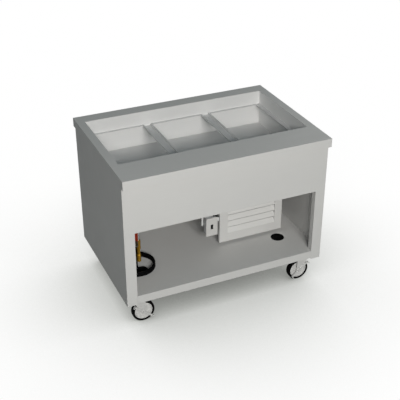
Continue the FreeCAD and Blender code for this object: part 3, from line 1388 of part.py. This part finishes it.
save("caster_channels", [caster_channel(side) for side in (-1, 1)])
save("caster_plates", [caster_plate(side, end) for _, side, end in CASTERS])
save("caster_kingpins", [caster_kingpin(side, end) for _, side, end in CASTERS])
bolt_points = [p for _, side, end in CASTERS for p in plate_bolt_points(side, end, 0)]
save("caster_bolts", [plate_bolt(p) for p in bolt_points])
for place, side, end in CASTERS:
    save(f"caster_fork_{place}", [caster_fork(side, end)])
    save(f"caster_axle_{place}", caster_axle(side, end))
    save(f"wheel_hub_{place}", [wheel_hub(side, end)])
    save(f"tyre_{place}", [tyre(side, end)])
    if end < 0:
        save(f"brake_lever_{place}", [brake_lever(side, end)])

save("drain_strainer", [drain_strainer()])
save("drain_nipple", [drain_nipple()])
save("valve_body", [valve_body()])
save("valve_stem", valve_stem())
save("valve_handle", [valve_handle()])
save("drain_tail_pipe", [drain_tail_pipe()])

save("louvered_panel", [louvered_panel()])
save("unit_base", [unit_base()])
save("condenser_coil", [condenser_coil()])
save("fan_shroud", [fan_shroud()])
save("fan_blade", [fan_blade()])
save("fan_motor", [fan_motor()])
save("compressor", compressor())
save("suction_line", [suction_line()])
save("refrigerant_lines", refrigerant_lines())

save("switch_box", [switch_box()])
save("switch_plate", [switch_plate()])
save("rocker_switch", [rocker_switch()])
save("plate_screws", [plate_screw(p) for p in screw_points()])
save("control_cable", [control_cable()])

save("strain_relief", [strain_relief()])
save("cord_drop", [cord_drop()])
save("cord_coil", [cord_coil()])
save("cord_plug", [cord_plug()])
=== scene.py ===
# Looks for the mobile salad bar: materials for every piece, the power cord, light, floor and camera.
# Metres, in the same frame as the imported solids.
import json
import math
import bpy
from mathutils import Matrix, Vector

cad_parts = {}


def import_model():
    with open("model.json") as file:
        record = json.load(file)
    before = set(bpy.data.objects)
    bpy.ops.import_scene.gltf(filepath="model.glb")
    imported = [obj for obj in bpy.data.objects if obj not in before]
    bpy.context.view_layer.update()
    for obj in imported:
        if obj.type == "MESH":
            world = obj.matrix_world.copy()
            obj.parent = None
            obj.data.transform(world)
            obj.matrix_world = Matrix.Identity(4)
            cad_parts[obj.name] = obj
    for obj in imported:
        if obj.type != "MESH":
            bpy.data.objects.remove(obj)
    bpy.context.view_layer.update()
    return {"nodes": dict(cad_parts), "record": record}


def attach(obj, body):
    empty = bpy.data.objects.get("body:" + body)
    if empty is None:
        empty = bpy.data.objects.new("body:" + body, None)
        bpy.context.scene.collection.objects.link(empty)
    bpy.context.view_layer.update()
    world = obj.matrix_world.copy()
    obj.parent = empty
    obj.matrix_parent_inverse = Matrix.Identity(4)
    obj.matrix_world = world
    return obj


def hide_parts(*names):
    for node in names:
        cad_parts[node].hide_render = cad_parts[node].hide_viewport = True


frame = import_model()
nodes = frame["nodes"]


# ---- Node helpers -------------------------------------------------------------------------------
class Shader:
    """A material with a Principled shader and a few ways to drive its sockets."""

    def __init__(self, name, **values):
        self.material = bpy.data.materials.new(name)
        self.material.use_nodes = True
        self.tree = self.material.node_tree
        self.tree.nodes.clear()
        self.output = self.add("ShaderNodeOutputMaterial")
        self.surface = self.add("ShaderNodeBsdfPrincipled")
        self.tree.links.new(self.surface.outputs[0], self.output.inputs["Surface"])
        self.coords = self.add("ShaderNodeTexCoord")
        for socket, value in values.items():
            self.surface.inputs[socket.replace("_", " ")].default_value = value

    def add(self, kind, **properties):
        node = self.tree.nodes.new(kind)
        for key, value in properties.items():
            setattr(node, key, value)
        return node

    def feed(self, node, **inputs):
        """Sets or links a node's inputs by name."""
        for key, value in inputs.items():
            socket = node.inputs[key.replace("_", " ")]
            if isinstance(value, bpy.types.NodeSocket):
                self.tree.links.new(value, socket)
            else:
                socket.default_value = value
        return node

    def noise(self, stretch, detail=3.0, rough=0.55, offset=(0, 0, 0)):
        """Noise in metres of the part's own space: stretch is the cells per metre along X, Y and Z."""
        mapping = self.feed(self.add("ShaderNodeMapping"), Vector=self.coords.outputs["Object"],
                            Scale=stretch, Location=offset)
        texture = self.add("ShaderNodeTexNoise")
        self.feed(texture, Vector=mapping.outputs[0], Scale=1.0, Detail=detail, Roughness=rough)
        return texture.outputs["Fac"]

    def spread(self, value, low, high, start=0.3, end=0.7):
        """Maps a value from start..end to low..high."""
        node = self.add("ShaderNodeMapRange")
        self.feed(node, Value=value)
        for key, number in (("From Min", start), ("From Max", end), ("To Min", low), ("To Max", high)):
            node.inputs[key].default_value = number
        return node.outputs[0]

    def math(self, operation, a, b=0.0, clamp=False):
        node = self.add("ShaderNodeMath", operation=operation, use_clamp=clamp)
        for socket, value in zip(node.inputs, (a, b)):
            if isinstance(value, bpy.types.NodeSocket):
                self.tree.links.new(value, socket)
            else:
                socket.default_value = value
        return node.outputs[0]

    def blend(self, factor, a, b):
        """Mixes two colours or two sockets."""
        node = self.add("ShaderNodeMix", data_type="RGBA")
        self.tree.links.new(factor, node.inputs["Factor"])
        for index, value in ((6, a), (7, b)):
            if isinstance(value, bpy.types.NodeSocket):
                self.tree.links.new(value, node.inputs[index])
            else:
                node.inputs[index].default_value = (*value, 1)
        return node.outputs[2]

    def facing(self, axis):
        """How far the surface's own normal lies along an axis: 0 to 1."""
        geometry = self.add("ShaderNodeNewGeometry")
        split = self.feed(self.add("ShaderNodeSeparateXYZ"), Vector=geometry.outputs["True Normal"])
        return self.math("ABSOLUTE", split.outputs["XYZ".index(axis)])

    def relief(self, height, strength, distance, edge=None):
        """Bump from a height, over a rounded edge of that radius."""
        bump = self.add("ShaderNodeBump")
        self.feed(bump, Height=height, Strength=strength, Distance=distance)
        if edge:
            bevel = self.feed(self.add("ShaderNodeBevel", samples=4), Radius=edge)
            self.tree.links.new(bevel.outputs[0], bump.inputs["Normal"])
        self.tree.links.new(bump.outputs[0], self.surface.inputs["Normal"])

    def drive(self, **sockets):
        self.feed(self.surface, **sockets)


def shaded(color, amount):
    """A colour made darker or lighter."""
    return tuple(min(1.0, c * amount) for c in color)


# ---- Materials ----------------------------------------------------------------------------------
GRAIN_DEPTH = 0.0002
SMALL_EDGE = 0.0006           # the rounding of a small part's edges
FIN_PITCH = 0.0025
WAVES_PER_UNIT = 20 / (2 * math.pi)    # a wave texture's bands per unit at a scale of 1


def brushed_steel(name, color, rough, streak=0.06, grain=900.0, edge=0.0012, metallic=0.12, level=1.0):
    """Sheet with a fine grain along its length, faint clouds and soft edges; below a level of 1, faces that
    look up get painted shade, darker by that factor.
    """
    m = Shader(name, Metallic=metallic)
    along_x = m.noise((5, grain, grain), detail=4)
    along_y = m.noise((grain, 5, grain), detail=4)
    side = m.spread(m.facing("X"), 0, 1, 0.45, 0.55)
    lines = m.blend(side, along_x, along_y)
    lines = m.feed(m.add("ShaderNodeRGBToBW"), Color=lines).outputs[0]
    cloud = m.noise((5, 5, 5), detail=5, rough=0.6)
    wipe = m.noise((2.5, 14, 14), detail=3, offset=(3, 1, 2))
    tone = m.math("ADD", m.spread(lines, -streak, streak), m.spread(cloud, -0.035, 0.035))
    tone = m.math("ADD", tone, 0.5)
    sheet = m.blend(tone, shaded(color, 0.86), shaded(color, 1.14))
    # Painted shade: faces that look up are darkened by the factor level, as if they caught less light.
    if level < 1.0:
        painted_top_shade = m.blend(tone, shaded(color, 0.86 * level), shaded(color, 1.14 * level))
        sheet = m.blend(m.spread(m.facing("Z"), 0, 1, 0.6, 0.9), sheet, painted_top_shade)
    m.drive(Base_Color=sheet)
    roughness = m.math("ADD", m.spread(wipe, rough - 0.05, rough + 0.05), m.spread(lines, -0.04, 0.04))
    m.drive(Roughness=roughness)
    m.relief(lines, 0.12, GRAIN_DEPTH, edge)
    return m.material


def plated(name, color, rough, metallic=1.0):
    """Stamped or turned metal with a plated finish: fine mottling and a little dirt in its cloud."""
    m = Shader(name, Metallic=metallic)
    speck = m.noise((700, 700, 700), detail=2)
    cloud = m.noise((60, 60, 60), detail=4)
    m.drive(Base_Color=m.blend(m.spread(cloud, 0, 1, 0.25, 0.75), shaded(color, 0.84), shaded(color, 1.08)))
    m.drive(Roughness=m.math("ADD", m.spread(speck, rough - 0.05, rough + 0.05), m.spread(cloud, -0.05, 0.05)))
    m.relief(speck, 0.12, GRAIN_DEPTH, SMALL_EDGE)
    return m.material


def moulded(name, color, rough, grain=1400.0, strength=0.25, gloss=0.5):
    """Moulded plastic or rubber: a fine texture, with slight unevenness in tone and gloss."""
    m = Shader(name, Specular_IOR_Level=gloss)
    fine = m.noise((grain, grain, grain), detail=3)
    cloud = m.noise((40, 40, 40), detail=3)
    m.drive(Base_Color=m.blend(m.spread(cloud, 0, 1), shaded(color, 0.85), shaded(color, 1.15)))
    m.drive(Roughness=m.spread(fine, rough - 0.06, rough + 0.06))
    m.relief(fine, strength, GRAIN_DEPTH, SMALL_EDGE)
    return m.material


def dipped_lever(name, color, rough, dip_height):
    """A plated lever with its grip dipped in coloured vinyl above a height; below it the metal carries painted
    shade, a dark brown.
    """
    m = Shader(name, Specular_IOR_Level=0.3)
    height = m.feed(m.add("ShaderNodeSeparateXYZ"), Vector=m.coords.outputs["Object"]).outputs["Z"]
    edge = m.math("ADD", height, m.spread(m.noise((300, 300, 300)), -0.0006, 0.0006))
    grip = m.spread(edge, 0, 1, dip_height - 0.0004, dip_height + 0.0004)
    cloud = m.noise((120, 120, 120), detail=3)
    vinyl = m.blend(m.spread(cloud, 0, 1), shaded(color, 0.85), shaded(color, 1.12))
    # Below the grip the plated steel is painted dark brown: painted shade standing in for the shade around the
    # stem.
    plate_painted_dark = m.blend(m.spread(cloud, 0, 1), (0.16, 0.12, 0.07), (0.24, 0.19, 0.12))
    fine = m.noise((900, 900, 900), detail=2)
    m.drive(Base_Color=m.blend(grip, plate_painted_dark, vinyl), Metallic=m.math("SUBTRACT", 1.0, grip, True))
    m.drive(Roughness=m.spread(fine, rough - 0.05, rough + 0.05))
    m.relief(m.math("ADD", grip, m.math("MULTIPLY", fine, 0.15)), 0.3, 0.0005, 0.0008)
    return m.material


def finned(name, color):
    """Condenser fins: thin upright plates close together, with painted shade in the gaps between them, and
    patchy dust.
    """
    m = Shader(name, Metallic=0.9)
    wave = m.add("ShaderNodeTexWave", wave_type="BANDS", bands_direction="X", wave_profile="SIN")
    m.feed(wave, Vector=m.coords.outputs["Object"], Scale=1 / (WAVES_PER_UNIT * FIN_PITCH))
    fins_and_gap_shade = wave.outputs["Fac"]
    dust = m.noise((30, 30, 30), detail=4)
    # Painted shade: the gaps between the fins are darkened down to a quarter of the colour.
    tone = m.math("MULTIPLY", m.spread(fins_and_gap_shade, 0.25, 1.0, 0.0, 1.0), m.spread(dust, 0.8, 1.1), True)
    m.drive(Base_Color=m.blend(tone, shaded(color, 0.25), color))
    m.drive(Roughness=m.spread(dust, 0.35, 0.6))
    m.relief(fins_and_gap_shade, 0.6, 0.001, 0.0005)
    return m.material


def foam(name, color):
    """Closed-cell foam with a fine open skin."""
    m = Shader(name)
    cells = m.noise((500, 500, 500), detail=4, rough=0.7)
    m.drive(Base_Color=m.blend(m.spread(cells, 0, 1), shaded(color, 0.88), shaded(color, 1.05)))
    m.drive(Roughness=m.spread(cells, 0.75, 0.95))
    m.relief(cells, 0.35, 0.0008, 0.001)
    return m.material


STEEL = (0.575, 0.574, 0.563)
# The well's stainless is painted lighter than the sheet outside: painted light that makes up for the shade
# inside the well.
WELL_STEEL_PAINTED_LIGHTER = (0.700, 0.700, 0.695)
GRIP_END = 0.430              # the height from which the valve's lever is dipped in vinyl
LOOKS = {
    "stainless_sheet": brushed_steel("stainless_sheet", STEEL, 0.55),
    # The well's faces that look up carry painted shade, darkened to 0.83.
    "well_steel": brushed_steel("well_steel", WELL_STEEL_PAINTED_LIGHTER, 0.5, level=0.83),
    "galvanized_sheet": brushed_steel("galvanized_sheet", (0.62, 0.635, 0.64), 0.55, 0.02, grain=120.0),
    "switch_steel": brushed_steel("switch_steel", (0.555, 0.55, 0.535), 0.5, grain=1500.0, edge=0.0005),
    "foam": foam("foam", (0.56, 0.565, 0.56)),
    "copper": plated("copper", (0.60, 0.28, 0.15), 0.32),
    "fin_aluminium": finned("fin_aluminium", (0.62, 0.64, 0.66)),
    "fan_aluminium": plated("fan_aluminium", (0.66, 0.67, 0.68), 0.36),
    "motor_enamel": moulded("motor_enamel", (0.035, 0.035, 0.04), 0.35, grain=500.0),
    "compressor_enamel": moulded("compressor_enamel", (0.012, 0.012, 0.012), 0.28, 300.0, strength=0.15),
    "black_rubber": moulded("black_rubber", (0.0018, 0.0018, 0.0018), 0.7, gloss=0.03),
    "cord_jacket": moulded("cord_jacket", (0.0018, 0.0018, 0.0019), 0.55, grain=1800.0, gloss=0.04),
    "plug_plastic": moulded("plug_plastic", (0.012, 0.012, 0.012), 0.45),
    "rocker_plastic": moulded("rocker_plastic", (0.006, 0.006, 0.006), 0.25, strength=0.08),
    "strainer_steel": plated("strainer_steel", (0.60, 0.61, 0.61), 0.25),
    "valve_brass": plated("valve_brass", (0.38, 0.21, 0.018), 0.4, metallic=0.8),
    "stem_chrome": plated("stem_chrome", (0.55, 0.55, 0.55), 0.2),
    "handle_red": dipped_lever("handle_red", (0.30, 0.030, 0.010), 0.4, GRIP_END),
    "zinc_plate": plated("zinc_plate", (0.60, 0.60, 0.59), 0.45, metallic=0.25),
    "lever_steel": plated("lever_steel", (0.63, 0.63, 0.62), 0.35, metallic=0.3),
    "hub_plastic": moulded("hub_plastic", (0.54, 0.54, 0.53), 0.45, grain=900.0, strength=0.12),
    "tyre_black": moulded("tyre_black", (0.002, 0.002, 0.002), 0.7, grain=700.0, gloss=0.04),
}
for entry in frame["record"]["subparts"]:
    mesh = nodes[entry["node"]].data
    mesh.materials.clear()
    mesh.materials.append(LOOKS[entry["material_slot"]])


# ---- Power cord ---------------------------------------------------------------------------------
CORD_R = 0.00515
DROP = Vector((-0.4432, -0.1531, 0))       # where it hangs
COIL = Vector((-0.4342, -0.1211, 0))       # the coil's middle
EXIT_LEVEL = 0.6349                        # where it leaves the strain relief
BEND_LEVEL = 0.300                         # where it begins to bend towards the shelf
LANDING_LEVEL = 0.2231
SHELF = 0.2066                             # the shelf's surface
GROMMET_FLANGE = 0.0016
LOOSE = 0.0003                             # gap under a piece that lies on another
LEVEL = SHELF + GROMMET_FLANGE + LOOSE + CORD_R      # centre of the lowest strand, over the grommet
TURN_GAP = 0.0008
STEP = 2 * CORD_R + TURN_GAP               # from one turn to the next
COIL_R = 0.099
INNER_GAP = 0.0009
INNER_R = COIL_R - 2 * CORD_R - INNER_GAP
PLUG_R = 0.014
PLUG_LEVEL = SHELF + LOOSE + PLUG_R
TURN_POINTS = 18
WOUND_FROM, WOUND_TO = 10.0, 1090          # degrees of winding, from the coil's front
WIDENS = (72, 130)                         # where the inner strand moves out to the full radius
CLIMBS = ((375, 445), (735, 805))          # where each turn climbs on to the one below
TAIL_OFFSET = 0.054                        # the tail to the plug, left of the middle


def ease(value, start, end):
    """0 before start, 1 after end, smooth between them."""
    t = min(1.0, max(0.0, (value - start) / (end - start)))
    return t * t * (3 - 2 * t)


def coil_point(wound):
    """A control point of the coil after so many degrees, clockwise from above, from its front."""
    angle = math.radians(-90 - wound)
    radius = INNER_R + (COIL_R - INNER_R) * ease(wound, *WIDENS)
    rise = sum(ease(wound, *climb) for climb in CLIMBS)
    outside = radius / math.cos(math.pi / TURN_POINTS)
    return COIL + Vector((outside * math.cos(angle), outside * math.sin(angle), LEVEL + rise * STEP))


def cord_route():
    """Down from the strain relief, a small bend on to the shelf, the coil, and the tail to the plug."""
    x, y = DROP.x, DROP.y
    route = [Vector((x, y, EXIT_LEVEL)), Vector((x, y, BEND_LEVEL)), Vector((x, y, LANDING_LEVEL)),
             Vector((-0.4270, -0.1480, LEVEL)), Vector((-0.4010, -0.1455, LEVEL)),
             Vector((-0.3905, -0.1730, LEVEL)), Vector((-0.4010, -0.2010, LEVEL))]
    wound = WOUND_FROM
    while wound <= WOUND_TO:
        route.append(coil_point(wound))
        wound += 360 / TURN_POINTS
    top = LEVEL + 2 * STEP
    tail = COIL.x - TAIL_OFFSET
    route += [Vector((tail + 0.002, COIL.y - 0.080, top)), Vector((tail, COIL.y - 0.052, top)),
              Vector((tail, COIL.y - 0.030, PLUG_LEVEL)), Vector((tail, COIL.y - 0.0037, PLUG_LEVEL))]
    return route


def cord_curve(points, radius):
    """A round tube on one smooth line near the points."""
    curve = bpy.data.curves.new("power_cord", "CURVE")
    curve.dimensions = "3D"
    curve.bevel_depth = radius
    curve.bevel_resolution = 8
    curve.resolution_u = 10
    curve.use_fill_caps = True
    spline = curve.splines.new("NURBS")
    spline.points.add(len(points) - 1)
    for control, point in zip(spline.points, points):
        control.co = (*point, 1)
    spline.order_u = 3
    spline.use_endpoint_u = True
    piece = bpy.data.objects.new("power_cord", curve)
    bpy.context.scene.collection.objects.link(piece)
    return piece


cord = cord_curve(cord_route(), CORD_R)
cord.data.materials.append(LOOKS["cord_jacket"])
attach(cord, "cart")
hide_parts("cord_drop", "cord_coil")


# ---- Floor, light and camera --------------------------------------------------------------------
FLOOR_BOUNCE = 0.38           # the floor's real reflectance, which lights the object from below
FLOOR_SHADE = 0.09            # how bright the floor is where nothing reaches it
FLOOR_OPEN = 0.94             # the share of open sky that already looks white
MIRRORED = 0.3                # how much of the white background shows in the metal
LIT_FROM = (-0.14, 0.06, 0.99)   # the sky over the floor is a little brighter to the left
SHADOW_REACH = 4.0            # how far away a thing still darkens the floor
FLOOR_HALF = 30.0
SHADE_TINT = (0.97, 1.0, 0.93)
WHITE = (1.0, 1.0, 1.0)
SKY_FRONT = (0.30, -0.93, 0.20)  # the way in which the sky is brightest
SKY_DARK, SKY_BRIGHT = 0.052, 0.114
HORIZON_TINT = (0.99, 1.0, 0.90)
ZENITH_TINT = (0.40, 0.92, 1.15)
LAMP_TINT = (1.0, 0.98, 0.95)
LAMP_TARGET = (0, 0, 0.5)
LAMPS = {                     # place, width, height and power
    "key": ((-1.30, -6.3, 3.60), 3.1, 1.4, 408),
    "fill": ((3.7, 2.9, 1.3), 2.4, 1.6, 60),
}
CAMERA_PLACE = (-1.6764, -3.7622, 2.8347)
CAMERA_ANGLES = (-24.064, 29.905, -0.093)   # azimuth, elevation and roll in degrees
LENS = 75.5
SENSOR = 36.0


def seen_directly(material_tree):
    """A factor: 1 to the camera, a share of it in reflections and through glass, 0 to other light."""
    path = material_tree.nodes.new("ShaderNodeLightPath")
    total = path.outputs["Is Camera Ray"]
    for kind in ("Is Glossy Ray", "Is Transmission Ray"):
        part = material_tree.nodes.new("ShaderNodeMath")
        part.operation = "MULTIPLY_ADD"
        part.use_clamp = True
        material_tree.links.new(path.outputs[kind], part.inputs[0])
        part.inputs[1].default_value = MIRRORED
        material_tree.links.new(total, part.inputs[2])
        total = part.outputs[0]
    return total


def floor():
    """A wide pale floor: white, with the object's soft shadow on it, and clear from below."""
    mesh = bpy.data.meshes.new("floor")
    far = FLOOR_HALF
    corners = [(-far, -far, 0), (far, -far, 0), (far, far, 0), (-far, far, 0)]
    mesh.from_pydata(corners, [], [(0, 1, 2, 3)])
    piece = bpy.data.objects.new("floor", mesh)
    bpy.context.scene.collection.objects.link(piece)
    m = Shader("floor_white")
    m.tree.nodes.remove(m.surface)
    shade = m.feed(m.add("ShaderNodeAmbientOcclusion", samples=16), Distance=SHADOW_REACH, Normal=LIT_FROM)
    grain = m.spread(m.noise((160, 160, 160), detail=2), 0.985, 1.015)
    open_sky = shade.outputs["AO"]
    bright = m.math("MULTIPLY", m.spread(open_sky, FLOOR_SHADE, 1.0, 0.0, FLOOR_OPEN), grain)
    tint = m.blend(open_sky, SHADE_TINT, WHITE)
    glow = m.feed(m.add("ShaderNodeEmission"), Color=tint, Strength=bright)
    bounce = m.feed(m.add("ShaderNodeBsdfDiffuse"), Color=(FLOOR_BOUNCE, FLOOR_BOUNCE, FLOOR_BOUNCE, 1))
    mix = m.add("ShaderNodeMixShader")
    m.tree.links.new(seen_directly(m.tree), mix.inputs[0])
    m.tree.links.new(bounce.outputs[0], mix.inputs[1])
    m.tree.links.new(glow.outputs[0], mix.inputs[2])
    sides = m.add("ShaderNodeMixShader")
    m.tree.links.new(m.add("ShaderNodeNewGeometry").outputs["Backfacing"], sides.inputs[0])
    m.tree.links.new(mix.outputs[0], sides.inputs[1])
    m.tree.links.new(m.add("ShaderNodeBsdfTransparent").outputs[0], sides.inputs[2])
    m.tree.links.new(sides.outputs[0], m.output.inputs["Surface"])
    mesh.materials.append(m.material)


def world():
    """A soft even studio, a little brighter towards the front; white to the camera."""
    sky = bpy.data.worlds.new("studio")
    sky.use_nodes = True
    tree = sky.node_tree
    tree.nodes.clear()
    out = tree.nodes.new("ShaderNodeOutputWorld")
    coords = tree.nodes.new("ShaderNodeTexCoord")
    dot = tree.nodes.new("ShaderNodeVectorMath")
    dot.operation = "DOT_PRODUCT"
    tree.links.new(coords.outputs["Generated"], dot.inputs[0])
    dot.inputs[1].default_value = Vector(SKY_FRONT).normalized()
    ramp = tree.nodes.new("ShaderNodeMapRange")
    ramp.interpolation_type = "SMOOTHSTEP"
    for key, number in (("From Min", -0.5), ("From Max", 1.0), ("To Min", SKY_DARK), ("To Max", SKY_BRIGHT)):
        ramp.inputs[key].default_value = number
    tree.links.new(dot.outputs["Value"], ramp.inputs["Value"])
    light = tree.nodes.new("ShaderNodeBackground")
    tree.links.new(ramp.outputs[0], light.inputs["Strength"])
    height = tree.nodes.new("ShaderNodeSeparateXYZ")
    tree.links.new(coords.outputs["Generated"], height.inputs[0])
    hue = tree.nodes.new("ShaderNodeMix")
    hue.data_type = "RGBA"
    tree.links.new(height.outputs["Z"], hue.inputs["Factor"])
    hue.inputs[6].default_value = (*HORIZON_TINT, 1)
    hue.inputs[7].default_value = (*ZENITH_TINT, 1)
    tree.links.new(hue.outputs[2], light.inputs["Color"])
    white = tree.nodes.new("ShaderNodeBackground")
    white.inputs["Color"].default_value = (*WHITE, 1)
    white.inputs["Strength"].default_value = 1.0
    mix = tree.nodes.new("ShaderNodeMixShader")
    tree.links.new(seen_directly(tree), mix.inputs[0])
    tree.links.new(light.outputs[0], mix.inputs[1])
    tree.links.new(white.outputs[0], mix.inputs[2])
    tree.links.new(mix.outputs[0], out.inputs["Surface"])
    bpy.context.scene.world = sky


def softbox(name, place, width, height, power):
    """A wide soft lamp that points at the object."""
    light = bpy.data.lights.new(name, "AREA")
    light.shape = "RECTANGLE"
    light.size = width
    light.size_y = height
    light.energy = power
    light.color = LAMP_TINT
    lamp = bpy.data.objects.new(name, light)
    way = (Vector(LAMP_TARGET) - Vector(place)).normalized()
    lamp.matrix_world = Matrix.Translation(place) @ way.to_track_quat("-Z", "Y").to_matrix().to_4x4()
    bpy.context.scene.collection.objects.link(lamp)


def camera():
    """A camera at the photograph's angle and distance."""
    azimuth, elevation, roll = (math.radians(a) for a in CAMERA_ANGLES)
    back = Vector((math.sin(azimuth) * math.cos(elevation), -math.cos(azimuth) * math.cos(elevation),
                   math.sin(elevation)))
    level = Vector((math.cos(azimuth), math.sin(azimuth), 0))
    upward = back.cross(level)
    right = level * math.cos(roll) + upward * math.sin(roll)
    up = upward * math.cos(roll) - level * math.sin(roll)
    data = bpy.data.cameras.new("camera")
    data.lens = LENS
    data.sensor_width = SENSOR
    data.sensor_fit = "HORIZONTAL"
    eye = bpy.data.objects.new("camera", data)
    turn = Matrix((right, up, back)).transposed().to_4x4()
    eye.matrix_world = Matrix.Translation(CAMERA_PLACE) @ turn
    bpy.context.scene.collection.objects.link(eye)
    bpy.context.scene.camera = eye


floor()
world()
for lamp_name, lamp in LAMPS.items():
    softbox(lamp_name, *lamp)
camera()
bpy.context.scene.view_settings.view_transform = "Standard"
